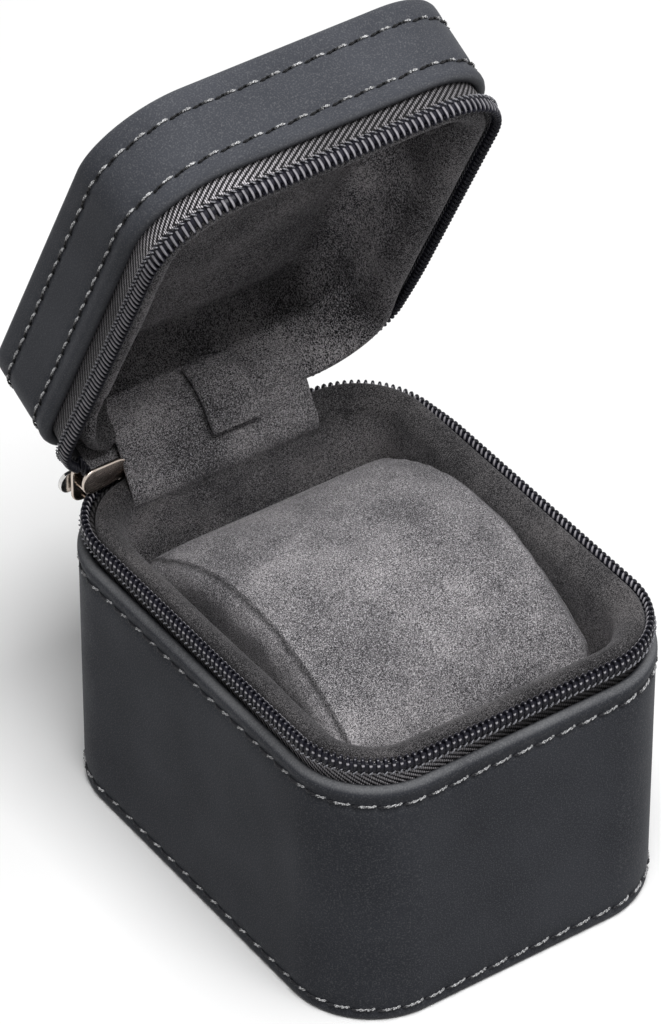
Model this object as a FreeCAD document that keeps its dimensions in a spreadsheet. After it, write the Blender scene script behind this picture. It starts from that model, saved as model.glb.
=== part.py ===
import FreeCAD, Part
import math
import os
import Sketcher

os.makedirs("parts", exist_ok=True)
doc = FreeCAD.newDocument("watch_case")
V = FreeCAD.Vector

# Sizes in millimetres and degrees; an inset is measured inwards from the outer face of the leather
table = [
    ("case_width", "70"),
    ("case_depth", "90.5"),
    ("corner_radius", "16"),
    ("base_height", "51.5"),
    ("lid_height", "16.4"),
    ("base_reveal", "5.3"),
    ("lid_reveal", "5.6"),
    ("coil_gap", "1.0"),
    ("outer_face", "0"),
    ("leather", "1.2"),
    ("edge_round", "0.9"),
    ("tape_inset", "2.0"),
    ("hem_height", "8"),
    ("tape_thick", "0.8"),
    ("tape_lap", "1.4"),
    ("coil_inset", "0.4"),
    ("coil_height", "2.7"),
    ("coil_round", "0.6"),
    ("core_floor", "2.0"),
    ("floor_pad", "1.5"),
    ("suede", "0.8"),
    ("base_wall", "7.6"),
    ("lid_wall", "7.4"),
    ("rim_drop", "2.0"),
    ("rebate_inset", "5.3"),
    ("rebate_drop", "2.2"),
    ("base_rim_round", "1.1"),
    ("lid_rim_round", "1.0"),
    ("foam_round", "0.2"),
    ("ceiling_foam", "2.2"),
    ("thread_sink", "0.4"),
    ("thread_proud", "0.1"),
    ("thread_width", "0.6"),
    ("base_thread_drop", "3.6"),
    ("foot_thread_rise", "2.5"),
    ("lid_thread_rise", "3.55"),
    ("top_thread_drop", "4.2"),
    ("open_angle", "63.9"),
    ("hinge_clearance", "0.4"),
    ("hinge_inset", "0.8"),
    ("hinge_rise", "0.9"),
    ("lining_lap", "9"),
    ("tab_left", "-3.75"),
    ("tab_right", "7.75"),
    ("tab_thick", "1.0"),
    ("tab_start", "4.5"),
    ("tab_tail", "4"),
    ("stop_length", "1.2"),
    ("slider_angle", "110"),
    ("slider_length", "9"),
    ("slider_width", "8.4"),
    ("slider_corner", "2.4"),
    ("outer_plate", "0.8"),
    ("inner_plate", "0.8"),
    ("slider_clearance", "0.3"),
    ("post_thick", "0.4"),
    ("post_length", "2"),
    ("post_start", "1.6"),
    ("lip_width", "0.7"),
    ("lip_depth", "1.5"),
    ("arch_length", "6"),
    ("arch_foot", "1"),
    ("arch_width", "1.4"),
    ("arch_opening", "1.5"),
    ("arch_thick", "0.8"),
    ("pin_offset", "0.8"),
    ("pin_diameter", "1.0"),
    ("puller_length", "7"),
    ("puller_width", "4"),
    ("puller_thick", "0.9"),
    ("fork_gap", "2.2"),
    ("fork_length", "4.1"),
    ("lid_zip_angle", "132"),
    ("cushion_side_gap", "1.9"),
    ("strap_front_gap", "4.65"),
    ("strap_back_gap", "5.65"),
    ("cushion_crown", "61.5"),
    ("cushion_shoulder", "52"),
    ("shoulder_in", "4.5"),
    ("shoulder_ease", "0.22"),
    ("shoulder_lift", "0.58"),
    ("cushion_waist", "42"),
    ("cushion_foot", "8"),
    ("cushion_cover", "1.0"),
    ("cushion_draw", "1.6"),
    ("cushion_seam", "1.6"),
    ("zip_top", "=base_height + base_reveal"),
    ("lid_zip_edge", "=zip_top + coil_gap"),
    ("zip_middle", "=zip_top + coil_gap / 2"),
    ("lid_edge", "=lid_zip_edge + lid_reveal"),
    ("case_height", "=lid_edge + lid_height"),
    ("lining_inset", "=tape_inset + tape_thick"),
    ("core_top", "=base_height - hem_height"),
    ("lid_core_edge", "=lid_edge + hem_height"),
    ("floor_level", "=leather + core_floor"),
    ("floor_top", "=floor_level + floor_pad"),
    ("lid_plate", "=case_height - leather - core_floor"),
    ("ceiling_back", "=lid_plate - ceiling_foam"),
    ("ceiling", "=ceiling_back - suede"),
    ("base_rim", "=zip_top - rim_drop"),
    ("lid_rim", "=lid_zip_edge + rim_drop"),
    ("base_foam_face", "=base_wall - suede"),
    ("lid_foam_face", "=lid_wall - suede"),
    ("foam_rebate", "=rebate_inset + suede"),
    ("thread_out", "=0 - thread_proud"),
    ("hinge_y", "=case_depth / 2 - hinge_inset"),
    ("zip_end", "=case_width / 2 - corner_radius"),
    ("hinge_half", "=zip_end - hinge_clearance"),
    ("cushion_half", "=case_width / 2 - base_wall - cushion_side_gap"),
    ("cushion_front", "=case_depth / 2 - base_wall - strap_front_gap"),
    ("cushion_back", "=case_depth / 2 - base_wall - strap_back_gap"),
    ("hinge_z", "=zip_middle + hinge_rise"),
]
sheet = doc.addObject("Spreadsheet::Sheet", "Sizes")
for row, (alias, text) in enumerate(table, start=1):
    sheet.set(f"A{row}", alias)
    sheet.set(f"B{row}", text)
    sheet.setAlias(f"B{row}", alias)
doc.recompute()
size = {alias: float(sheet.get(alias)) for alias, _ in table}
finished = {}


def finish(name, item):
    # Keeps an object under its node name
    item.Label = name
    finished[name] = item
    return item


def base_plane(body):
    # Finds the horizontal plane of a body's own origin
    return [item for item in body.Origin.OriginFeatures if item.Role == "XY_Plane"][0]


def flat_sketch(body, level):
    # Starts a sketch on the horizontal plane, raised to a level
    sketch = body.newObject("Sketcher::SketchObject", "Outline")
    sketch.AttachmentSupport = (base_plane(body), [""])
    sketch.MapMode = "FlatFace"
    sketch.setExpression("AttachmentOffset.Base.z", level)
    return sketch


def rounded_loop(sketch, tag, wide, deep, corner, width, depth, radius):
    # Adds a rounded rectangle about the origin, with its three sizes bound to expressions
    half_x = wide / 2
    half_y = deep / 2
    in_x = half_x - corner
    in_y = half_y - corner
    ends = [(-in_x, -half_y), (in_x, -half_y), (half_x, -in_y), (half_x, in_y),
            (in_x, half_y), (-in_x, half_y), (-half_x, in_y), (-half_x, -in_y)]
    centres = [(in_x, -in_y), (in_x, in_y), (-in_x, in_y), (-in_x, -in_y)]
    first = sketch.GeometryCount
    for side in range(4):
        start = V(*ends[2 * side], 0)
        end = V(*ends[2 * side + 1], 0)
        sketch.addGeometry(Part.LineSegment(start, end), False)
        circle = Part.Circle(V(*centres[side], 0), V(0, 0, 1), corner)
        turn = (side - 1) * math.pi / 2
        sketch.addGeometry(Part.ArcOfCircle(circle, turn, turn + math.pi / 2), False)
    for step in range(8):
        here = first + step
        after = first + (step + 1) % 8
        sketch.addConstraint(Sketcher.Constraint("Tangent", here, 2, after, 1))
    for step in (0, 4):
        sketch.addConstraint(Sketcher.Constraint("Horizontal", first + step))
    for step in (2, 6):
        sketch.addConstraint(Sketcher.Constraint("Vertical", first + step))
    for step in (3, 5, 7):
        sketch.addConstraint(Sketcher.Constraint("Equal", first + 1, first + step))
    sketch.addConstraint(Sketcher.Constraint("Symmetric", first, 1, first + 4, 1, -1, 1))
    bound = [("DistanceX", first + 6, first + 2, wide, width), ("DistanceY", first, first + 4, deep, depth)]
    for kind, low, high, amount, formula in bound:
        number = sketch.addConstraint(Sketcher.Constraint(kind, low, 1, high, 1, amount))
        sketch.renameConstraint(number, tag + kind)
        sketch.setExpression("Constraints." + tag + kind, formula)
    number = sketch.addConstraint(Sketcher.Constraint("Radius", first + 1, corner))
    sketch.renameConstraint(number, tag + "Radius")
    sketch.setExpression("Constraints." + tag + "Radius", radius)


def case_loop(sketch, inset):
    # Adds the plan of the case, set in from the outer face by a named inset
    rounded_loop(sketch, inset,
                 size["case_width"] - 2 * size[inset],
                 size["case_depth"] - 2 * size[inset],
                 size["corner_radius"] - size[inset],
                 f"Sizes.case_width - 2 * Sizes.{inset}",
                 f"Sizes.case_depth - 2 * Sizes.{inset}",
                 f"Sizes.corner_radius - Sizes.{inset}")


def add_step(body, kind, level, length, insets):
    # Pads upwards, or pockets downwards, from a level over the area between the insets
    sketch = flat_sketch(body, level)
    for inset in insets:
        case_loop(sketch, inset)
    doc.recompute()
    feature = body.newObject("PartDesign::" + kind, kind)
    feature.Profile = sketch
    feature.setExpression("Length", length)
    doc.recompute()
    return feature


def inset_of(point):
    # Measures how far a point lies inside the outer plan
    reach_x = abs(point.x) - (size["case_width"] / 2 - size["corner_radius"])
    reach_y = abs(point.y) - (size["case_depth"] / 2 - size["corner_radius"])
    if reach_x > 0 and reach_y > 0:
        return size["corner_radius"] - math.hypot(reach_x, reach_y)
    return size["corner_radius"] - max(reach_x, reach_y)


def round_edges(body, radius, places):
    # Rounds the level edges found at the given pairs of level and inset
    names = []
    for number, edge in enumerate(body.Tip.Shape.Edges, start=1):
        middle = edge.valueAt((edge.FirstParameter + edge.LastParameter) / 2)
        for level, inset in places:
            near = abs(inset_of(middle) - inset) < 0.001
            if near and abs(edge.BoundBox.ZMin - level) + abs(edge.BoundBox.ZMax - level) < 0.001:
                names.append(f"Edge{number}")
    tip = body.Tip
    feature = body.newObject("PartDesign::Fillet", "Round")
    feature.Base = (tip, names)
    feature.setExpression("Radius", radius)
    doc.recompute()


def new_body(name):
    return doc.addObject("PartDesign::Body", name + "_body")


def bound_box(name, length, width, height, x, y, z):
    # Makes a block whose sizes and place are bound to expressions
    item = doc.addObject("Part::Box", name)
    item.setExpression("Length", length)
    item.setExpression("Width", width)
    item.setExpression("Height", height)
    item.setExpression("Placement.Base.x", x)
    item.setExpression("Placement.Base.y", y)
    item.setExpression("Placement.Base.z", z)
    return item


def cut(name, base, tool):
    item = doc.addObject("Part::Cut", name + "_cut")
    item.Base = base
    item.Tool = tool
    return item


def common(name, base, tool):
    item = doc.addObject("Part::Common", name + "_common")
    item.Base = base
    item.Tool = tool
    return item


def end_block(name, x):
    # Makes the block that holds one end of a coil, next to the hinge
    return bound_box(name, "Sizes.stop_length", "Sizes.case_depth", "Sizes.case_height", x, "0", "0")


def fuse(name, items):
    item = doc.addObject("Part::MultiFuse", name + "_fuse")
    item.Shapes = items
    return item


def open_lid(item):
    # Turns a piece that was built closed about the hinge line, to the angle at which the lid stands
    item.Placement = FreeCAD.Placement(V(0, 0, 0), FreeCAD.Rotation(V(-1, 0, 0), size["open_angle"]))
    swing = "Sizes.open_angle"
    item.setExpression("Placement.Rotation.Angle", "Sizes.open_angle * 1 deg")
    item.setExpression("Placement.Base.y",
                       f"Sizes.hinge_y - Sizes.hinge_y * cos({swing}) - Sizes.hinge_z * sin({swing})")
    item.setExpression("Placement.Base.z",
                       f"Sizes.hinge_z + Sizes.hinge_y * sin({swing}) - Sizes.hinge_z * cos({swing})")
    return item


# Leather band of the base, with its turned-in top edge and two thread channels
body = new_body("base_side_leather")
add_step(body, "Pad", "Sizes.outer_face", "Sizes.base_height", ["outer_face", "leather"])
add_step(body, "Pad", "Sizes.core_top", "Sizes.hem_height", ["leather", "tape_inset"])
round_edges(body, "Sizes.edge_round", [(0, 0), (size["base_height"], 0)])
base_row = "Sizes.base_height - Sizes.base_thread_drop"
foot_row = "Sizes.foot_thread_rise"
half_thread = " + Sizes.thread_width / 2"
for row_level in (base_row, foot_row):
    add_step(body, "Pocket", row_level + half_thread, "Sizes.thread_width", ["thread_out", "thread_sink"])
finish("base_side_leather", body)

# Bottom panel, board tub and padded floor
body = new_body("base_bottom_leather")
add_step(body, "Pad", "Sizes.outer_face", "Sizes.leather", ["leather"])
finish("base_bottom_leather", body)
body = new_body("base_core")
add_step(body, "Pad", "Sizes.leather", "Sizes.core_floor", ["leather"])
add_step(body, "Pad", "Sizes.floor_level", "Sizes.core_top - Sizes.floor_level", ["leather", "lining_inset"])
finish("base_core", body)
body = new_body("base_floor_pad")
add_step(body, "Pad", "Sizes.floor_level", "Sizes.floor_pad", ["lining_inset"])
finish("base_floor_pad", body)

# Padded wall of the base: foam with a rebate for the slider, and the suede over it
body = new_body("base_wall_foam")
add_step(body, "Pad", "Sizes.floor_top", "Sizes.base_rim - Sizes.suede - Sizes.floor_top",
         ["lining_inset", "base_foam_face"])
add_step(body, "Pocket", "Sizes.base_rim - Sizes.suede", "Sizes.rebate_drop", ["lining_inset", "foam_rebate"])
foam_top = size["base_rim"] - size["suede"]
round_edges(body, "Sizes.foam_round", [(foam_top, size["foam_rebate"]), (foam_top, size["base_foam_face"])])
base_foam = finish("base_wall_foam", body)
body = new_body("base_wall_full")
add_step(body, "Pad", "Sizes.floor_top", "Sizes.base_rim - Sizes.floor_top", ["lining_inset", "base_wall"])
add_step(body, "Pocket", "Sizes.base_rim", "Sizes.rebate_drop", ["lining_inset", "rebate_inset"])
round_edges(body, "Sizes.base_rim_round",
            [(size["base_rim"], size["rebate_inset"]), (size["base_rim"], size["base_wall"])])
finish("base_wall_lining", cut("base_wall_lining", body, base_foam))

# Zip tape and coil of the base, open across the hinge
hinge_gap = bound_box("hinge_gap", "2 * Sizes.zip_end", "Sizes.case_depth", "Sizes.case_height",
                      "0 - Sizes.zip_end", "0", "0")
stop_gap = bound_box("stop_gap", "2 * (Sizes.zip_end + Sizes.stop_length)", "Sizes.case_depth",
                     "Sizes.case_height", "0 - Sizes.zip_end - Sizes.stop_length", "0", "0")
body = new_body("base_zip_tape")
add_step(body, "Pad", "Sizes.core_top", "Sizes.zip_top - Sizes.tape_lap - Sizes.core_top",
         ["tape_inset", "lining_inset"])
finish("base_zip_tape", cut("base_zip_tape", body, hinge_gap))
body = new_body("base_zip_coil")
add_step(body, "Pad", "Sizes.zip_top - Sizes.coil_height", "Sizes.coil_height", ["coil_inset", "tape_inset"])
coil_foot = size["zip_top"] - size["coil_height"]
round_edges(body, "Sizes.coil_round", [(coil_foot, size["coil_inset"]), (size["zip_top"], size["coil_inset"])])
finish("base_zip_coil", cut("base_zip_coil", body, stop_gap))

# Stops at the ends of the base's coil
left_end = end_block("left_end", "0 - Sizes.zip_end - Sizes.stop_length")
right_end = end_block("right_end", "Sizes.zip_end")
finish("zip_bottom_stop", common("zip_bottom_stop", body, left_end))
finish("base_top_stop", common("base_top_stop", body, right_end))

# Sewing threads, each a ring that lies in its channel
rows = [
    ("base_rim_thread", base_row),
    ("base_foot_thread", foot_row),
    ("lid_rim_thread", "Sizes.lid_edge + Sizes.lid_thread_rise"),
    ("lid_top_thread", "Sizes.case_height - Sizes.top_thread_drop"),
]
for name, row_level in rows:
    body = new_body(name)
    add_step(body, "Pad", row_level + " - Sizes.thread_width / 2", "Sizes.thread_width",
             ["thread_out", "thread_sink"])
    finish(name, body)
    if name.startswith("lid"):
        open_lid(body)

# Leather band and top panel of the lid, with its board tray
body = new_body("lid_side_leather")
add_step(body, "Pad", "Sizes.lid_edge", "Sizes.lid_height", ["outer_face", "leather"])
add_step(body, "Pad", "Sizes.lid_edge", "Sizes.hem_height", ["leather", "tape_inset"])
round_edges(body, "Sizes.edge_round", [(size["lid_edge"], 0), (size["case_height"], 0)])
for name, row_level in rows[2:]:
    add_step(body, "Pocket", row_level + half_thread, "Sizes.thread_width", ["thread_out", "thread_sink"])
finish("lid_side_leather", open_lid(body))
body = new_body("lid_top_leather")
add_step(body, "Pad", "Sizes.case_height - Sizes.leather", "Sizes.leather", ["leather"])
finish("lid_top_leather", open_lid(body))
body = new_body("lid_core")
add_step(body, "Pad", "Sizes.lid_plate", "Sizes.core_floor", ["leather"])
add_step(body, "Pad", "Sizes.lid_core_edge", "Sizes.lid_plate - Sizes.lid_core_edge",
         ["leather", "lining_inset"])
finish("lid_core", open_lid(body))

# Padded ceiling and wall of the lid
body = new_body("lid_ceiling_foam")
add_step(body, "Pad", "Sizes.ceiling_back", "Sizes.ceiling_foam", ["lining_inset"])
finish("lid_ceiling_foam", open_lid(body))
body = new_body("lid_ceiling_lining")
add_step(body, "Pad", "Sizes.ceiling", "Sizes.suede", ["lining_inset"])
finish("lid_ceiling_lining", open_lid(body))
body = new_body("lid_wall_foam")
add_step(body, "Pad", "Sizes.lid_rim + Sizes.suede", "Sizes.ceiling - Sizes.lid_rim - Sizes.suede",
         ["lining_inset", "lid_foam_face"])
add_step(body, "Pocket", "Sizes.lid_rim + Sizes.suede + Sizes.rebate_drop", "Sizes.rebate_drop",
         ["lining_inset", "foam_rebate"])
foam_edge = size["lid_rim"] + size["suede"]
round_edges(body, "Sizes.foam_round",
            [(foam_edge, size["foam_rebate"]), (foam_edge, size["lid_foam_face"])])
finish("lid_wall_foam", open_lid(body))
body = new_body("lid_wall_full")
add_step(body, "Pad", "Sizes.lid_rim", "Sizes.ceiling - Sizes.lid_rim", ["lining_inset", "lid_wall"])
add_step(body, "Pocket", "Sizes.lid_rim + Sizes.rebate_drop", "Sizes.rebate_drop",
         ["lining_inset", "rebate_inset"])
round_edges(body, "Sizes.lid_rim_round",
            [(size["lid_rim"], size["rebate_inset"]), (size["lid_rim"], size["lid_wall"])])
open_lid(body)
finish("lid_wall_lining", cut("lid_wall_lining", body, finished["lid_wall_foam"]))

# Zip tape and coil of the lid, which end where the slider is parked
corner_x = size["corner_radius"] - size["case_width"] / 2
corner_y = size["case_depth"] / 2 - size["corner_radius"]
park_gap = doc.addObject("Part::Cylinder", "park_gap")
park_gap.setExpression("Radius", "2 * Sizes.corner_radius")
park_gap.setExpression("Height", "Sizes.case_height")
park_gap.setExpression("Angle", "(Sizes.lid_zip_angle - 90) * 1 deg")
quarter = FreeCAD.Rotation(V(0, 0, 1), 90)
park_gap.Placement = FreeCAD.Placement(V(corner_x, corner_y, 0), quarter)
park_gap.setExpression("Placement.Base.x", "Sizes.corner_radius - Sizes.case_width / 2")
park_gap.setExpression("Placement.Base.y", "Sizes.case_depth / 2 - Sizes.corner_radius")
body = new_body("lid_zip_tape")
add_step(body, "Pad", "Sizes.lid_zip_edge + Sizes.tape_lap",
         "Sizes.lid_core_edge - Sizes.lid_zip_edge - Sizes.tape_lap", ["tape_inset", "lining_inset"])
tape_gap = fuse("tape_gap", [hinge_gap, park_gap])
finish("lid_zip_tape", open_lid(cut("lid_zip_tape", body, tape_gap)))
body = new_body("lid_zip_coil")
add_step(body, "Pad", "Sizes.lid_zip_edge", "Sizes.coil_height", ["coil_inset", "tape_inset"])
coil_head = size["lid_zip_edge"] + size["coil_height"]
round_edges(body, "Sizes.coil_round",
            [(size["lid_zip_edge"], size["coil_inset"]), (coil_head, size["coil_inset"])])
coil_gap = fuse("coil_gap", [stop_gap, park_gap])
finish("lid_zip_coil", open_lid(cut("lid_zip_coil", body, coil_gap)))
finish("lid_top_stop", open_lid(common("lid_top_stop", body, right_end)))


def turned(point, turn):
    # Turns a direction in the plane across the hinge
    return V(0, point.y * math.cos(turn) - point.z * math.sin(turn),
             point.y * math.sin(turn) + point.z * math.cos(turn))


def strip(name, start, steps, thick, left, right):
    # Makes a bent strip across the hinge: steps are straight lengths, or a radius and an angle to the right
    place = start
    heading = steps[0]
    near = []
    far = []
    for step in steps[1:]:
        side = turned(heading, math.pi / 2)
        if len(step) == 1:
            after = place + heading * step[0]
            near.append(Part.makeLine(place, after))
            far.append(Part.makeLine(place + side * thick, after + side * thick))
        else:
            radius, angle = step
            centre = place - side * radius
            half_side = turned(side, -math.radians(angle) / 2)
            last_side = turned(side, -math.radians(angle))
            after = centre + last_side * radius
            near.append(Part.Arc(place, centre + half_side * radius, after).toShape())
            wide = radius + thick
            far.append(Part.Arc(centre + side * wide, centre + half_side * wide,
                                centre + last_side * wide).toShape())
            heading = turned(heading, -math.radians(angle))
        place = after
    first_side = turned(steps[0], math.pi / 2)
    ends = [Part.makeLine(start, start + first_side * thick),
            Part.makeLine(place, place + turned(heading, math.pi / 2) * thick)]
    wire = Part.Wire(Part.__sortEdges__(near + far + ends))
    solid = Part.Face(wire).extrude(V(right - left, 0, 0))
    item = doc.addObject("Part::Feature", name)
    item.Shape = solid
    item.Placement = FreeCAD.Placement(V(left, 0, 0), FreeCAD.Rotation())
    return finish(name, item)


# Soft hinge: a leather strip that bends about the hinge line, and the suede that bridges the two rims
up = V(0, 0, 1)
back_face = size["case_depth"] / 2
strip_y = back_face - size["tape_inset"]
strip("hinge_leather", V(0, strip_y, size["core_top"]),
      [up, (size["hinge_z"] - size["core_top"],),
       (size["hinge_y"] - strip_y, size["open_angle"]),
       (size["lid_core_edge"] - size["hinge_z"],)],
      size["tape_thick"], -size["hinge_half"], size["hinge_half"])
swing = math.radians(size["open_angle"])
hinge = V(0, size["hinge_y"], size["hinge_z"])
base_radius = size["base_rim_round"]
lid_radius = size["lid_rim_round"]
wall_y = back_face - size["base_wall"]
base_centre = V(0, wall_y + base_radius, size["base_rim"] - base_radius)
lid_centre = V(0, back_face - size["lid_wall"] + lid_radius, size["lid_rim"] + lid_radius)
lid_centre = hinge + turned(lid_centre - hinge, -swing)
span = lid_centre - base_centre
lean = math.atan2(span.z, span.y) + math.asin((base_radius - lid_radius) / span.Length)
bridge = math.sqrt(span.Length ** 2 - (base_radius - lid_radius) ** 2)
first_bend = 90 - math.degrees(lean)
last_bend = size["open_angle"] - first_bend
strip("hinge_lining", V(0, wall_y, base_centre.z - size["lining_lap"]),
      [up, (size["lining_lap"],), (base_radius, first_bend), (bridge,), (lid_radius, last_bend),
       (size["lining_lap"],)],
      size["suede"], -size["hinge_half"], size["hinge_half"])
along = V(0, math.cos(lean), math.sin(lean))
tab_base = base_centre + turned(along, math.pi / 2) * (base_radius + size["suede"])
strip("hinge_tab", tab_base + along * size["tab_start"],
      [along, (bridge - size["tab_start"],), (lid_radius + size["suede"], last_bend), (size["tab_tail"],)],
      size["tab_thick"], size["tab_left"], size["tab_right"])

# Slider, built lying flat with its length along X and the radius from the corner's centre along Z
coil_radius = "(Sizes.corner_radius - Sizes.coil_inset)"
outer_level = coil_radius + " + Sizes.slider_clearance"
tape_radius = "(Sizes.corner_radius - Sizes.lining_inset)"
sagging = f"sqrt({tape_radius} * {tape_radius} - Sizes.slider_length * Sizes.slider_length / 4)"
inner_top = sagging + " - Sizes.slider_clearance"


def slider_plate(name, level, length):
    body = new_body(name)
    sketch = flat_sketch(body, level)
    rounded_loop(sketch, "plate", size["slider_length"], size["slider_width"], size["slider_corner"],
                 "Sizes.slider_length", "Sizes.slider_width", "Sizes.slider_corner")
    feature = body.newObject("PartDesign::Pad", "Pad")
    feature.Profile = sketch
    feature.setExpression("Length", length)
    return body


outer = slider_plate("slider_outer", outer_level, "Sizes.outer_plate")
inner = slider_plate("slider_inner", inner_top + " - Sizes.inner_plate", "Sizes.inner_plate")
post = bound_box("slider_post", "Sizes.post_length", "Sizes.post_thick",
                 f"{outer_level} - ({inner_top})", "0 - Sizes.post_start - Sizes.post_length",
                 "0 - Sizes.post_thick / 2", inner_top)
lip_length = "Sizes.slider_length - 2 * Sizes.slider_corner"
lip_x = "Sizes.slider_corner - Sizes.slider_length / 2"
lip_level = outer_level + " - Sizes.lip_depth"
lip_low = bound_box("lip_low", lip_length, "Sizes.lip_width", "Sizes.lip_depth", lip_x,
                    "0 - Sizes.slider_width / 2", lip_level)
lip_high = bound_box("lip_high", lip_length, "Sizes.lip_width", "Sizes.lip_depth", lip_x,
                     "Sizes.slider_width / 2 - Sizes.lip_width", lip_level)
slider = finish("zip_slider", fuse("zip_slider", [outer, inner, post, lip_low, lip_high]))

# Arch on the slider's outer plate, and the puller whose pin lies under it
arch_level = outer_level + " + Sizes.outer_plate"
arch_block = bound_box("arch_block", "Sizes.arch_length", "Sizes.arch_width",
                       "Sizes.arch_opening + Sizes.arch_thick", "0 - Sizes.arch_length / 2",
                       "0 - Sizes.arch_width / 2", arch_level)
arch_hole = bound_box("arch_hole", "Sizes.arch_length - 2 * Sizes.arch_foot", "2 * Sizes.arch_width",
                      "Sizes.arch_opening", "Sizes.arch_foot - Sizes.arch_length / 2",
                      "0 - Sizes.arch_width", arch_level)
arch = finish("slider_arch", cut("slider_arch", arch_block, arch_hole))
pin_level = f"{arch_level} + Sizes.arch_opening / 2"
pin = doc.addObject("Part::Cylinder", "puller_pin")
pin.setExpression("Radius", "Sizes.pin_diameter / 2")
pin.setExpression("Height", "Sizes.puller_width")
pin.Placement = FreeCAD.Placement(V(0, 0, 0), FreeCAD.Rotation(V(-1, 0, 0), 90))
pin.setExpression("Placement.Base.x", "Sizes.pin_offset")
pin.setExpression("Placement.Base.y", "0 - Sizes.puller_width / 2")
pin.setExpression("Placement.Base.z", pin_level)
tab_level = f"{pin_level} - Sizes.puller_thick / 2"
tip = "Sizes.pin_offset - Sizes.puller_length + Sizes.puller_width / 2"
blade = bound_box("puller_blade", "Sizes.puller_length - Sizes.puller_width / 2", "Sizes.puller_width",
                  "Sizes.puller_thick", tip, "0 - Sizes.puller_width / 2", tab_level)
nose = doc.addObject("Part::Cylinder", "puller_nose")
nose.setExpression("Radius", "Sizes.puller_width / 2")
nose.setExpression("Height", "Sizes.puller_thick")
nose.setExpression("Placement.Base.x", tip)
nose.setExpression("Placement.Base.z", tab_level)
tab = fuse("puller_tab", [blade, nose])
fork = bound_box("puller_fork", "2 * Sizes.fork_length", "Sizes.fork_gap", "2 * Sizes.puller_thick",
                 "Sizes.pin_offset - Sizes.fork_length", "0 - Sizes.fork_gap / 2",
                 f"{pin_level} - Sizes.puller_thick")
puller = finish("zip_puller", fuse("zip_puller", [cut("puller_tab", tab, fork), pin]))
park = FreeCAD.Rotation(V(0, 0, 1), size["slider_angle"] - 90)
lay_up = FreeCAD.Rotation(V(1, 0, 0), -90)
for item in (slider, arch, puller):
    item.Placement = FreeCAD.Placement(V(corner_x, corner_y, size["zip_middle"]), park.multiply(lay_up))


def cushion_wire(x, inward, foot):
    # Draws the cushion's outline across its width, drawn in by a distance over a level foot
    front = -size["cushion_front"] + inward
    back = size["cushion_back"] - inward
    corner = size["cushion_foot"]
    waist = size["cushion_waist"]
    shoulder = size["cushion_shoulder"] - inward
    inside = size["shoulder_in"]
    slope = corner * (1 - math.sqrt(0.5))
    ease = inside * size["shoulder_ease"]
    bulge = waist + (shoulder - waist) * size["shoulder_lift"]
    middle = (front + back) / 2
    crown = size["cushion_crown"] - inward

    def line(start, end):
        return Part.makeLine(V(x, *start), V(x, *end))

    def arc(start, between, end):
        return Part.Arc(V(x, *start), V(x, *between), V(x, *end)).toShape()

    edges = [
        line((front + corner, foot), (back - corner, foot)),
        arc((back - corner, foot), (back - slope, foot + slope), (back, foot + corner)),
        line((back, foot + corner), (back, waist)),
        arc((back, waist), (back - ease, bulge), (back - inside, shoulder)),
        arc((back - inside, shoulder), (middle, crown), (front + inside, shoulder)),
        arc((front + inside, shoulder), (front + ease, bulge), (front, waist)),
        line((front, waist), (front, foot + corner)),
        arc((front, foot + corner), (front + slope, foot + slope), (front + corner, foot)),
    ]
    return Part.Wire(edges)


def cushion_loft(half, inward):
    # Lofts the cushion from end to end, fullest in the middle and drawn in at the ends
    draw = size["cushion_draw"]
    eased = draw / 4
    places = [(-half, draw), (-half + draw, eased), (-half / 2, 0), (half / 2, 0), (half - draw, eased), (half, draw)]
    foot = size["floor_top"] + inward
    return Part.makeLoft([cushion_wire(x, inward + more, foot) for x, more in places], True, True)


# Cushion: foam core, wrap, and a cover at each end
whole = cushion_loft(size["cushion_half"], 0)
core_half = size["cushion_half"] - size["cushion_cover"]
core_solid = cushion_loft(core_half, size["cushion_cover"])
cover = whole.cut(core_solid)
seam = size["cushion_half"] - size["cushion_seam"]
far = 2 * size["case_depth"]
middle_block = Part.makeBox(2 * seam, far, far, V(-seam, -far / 2, 0))
left_block = Part.makeBox(far, far, far, V(-seam - far, -far / 2, 0))
right_block = Part.makeBox(far, far, far, V(seam, -far / 2, 0))
cushion_parts = [
    ("cushion_core", core_solid),
    ("cushion_wrap", cover.common(middle_block)),
    ("cushion_end_left", cover.common(left_block)),
    ("cushion_end_right", cover.common(right_block)),
]
for name, shape in cushion_parts:
    item = doc.addObject("Part::Feature", name)
    item.Shape = shape
    finish(name, item)

doc.recompute()
for item in doc.Objects:
    if "Invalid" in item.State or "Error" in item.State:
        raise RuntimeError(f"{item.Name} failed to build")
for name, item in finished.items():
    shape = item.Shape
    if shape.isNull() or not shape.isValid():
        raise RuntimeError(f"{name} has no valid solid")
    shape.exportStep(f"parts/{name}.step")
    box = shape.BoundBox
    print(f"{name}: {len(shape.Solids)} solid, {shape.Volume:.1f} mm3, z {box.ZMin:.2f} to {box.ZMax:.2f}")
print(f"{len(finished)} nodes written")
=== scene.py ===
import math
import bmesh
import bpy
from mathutils import Matrix, Vector, noise


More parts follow.
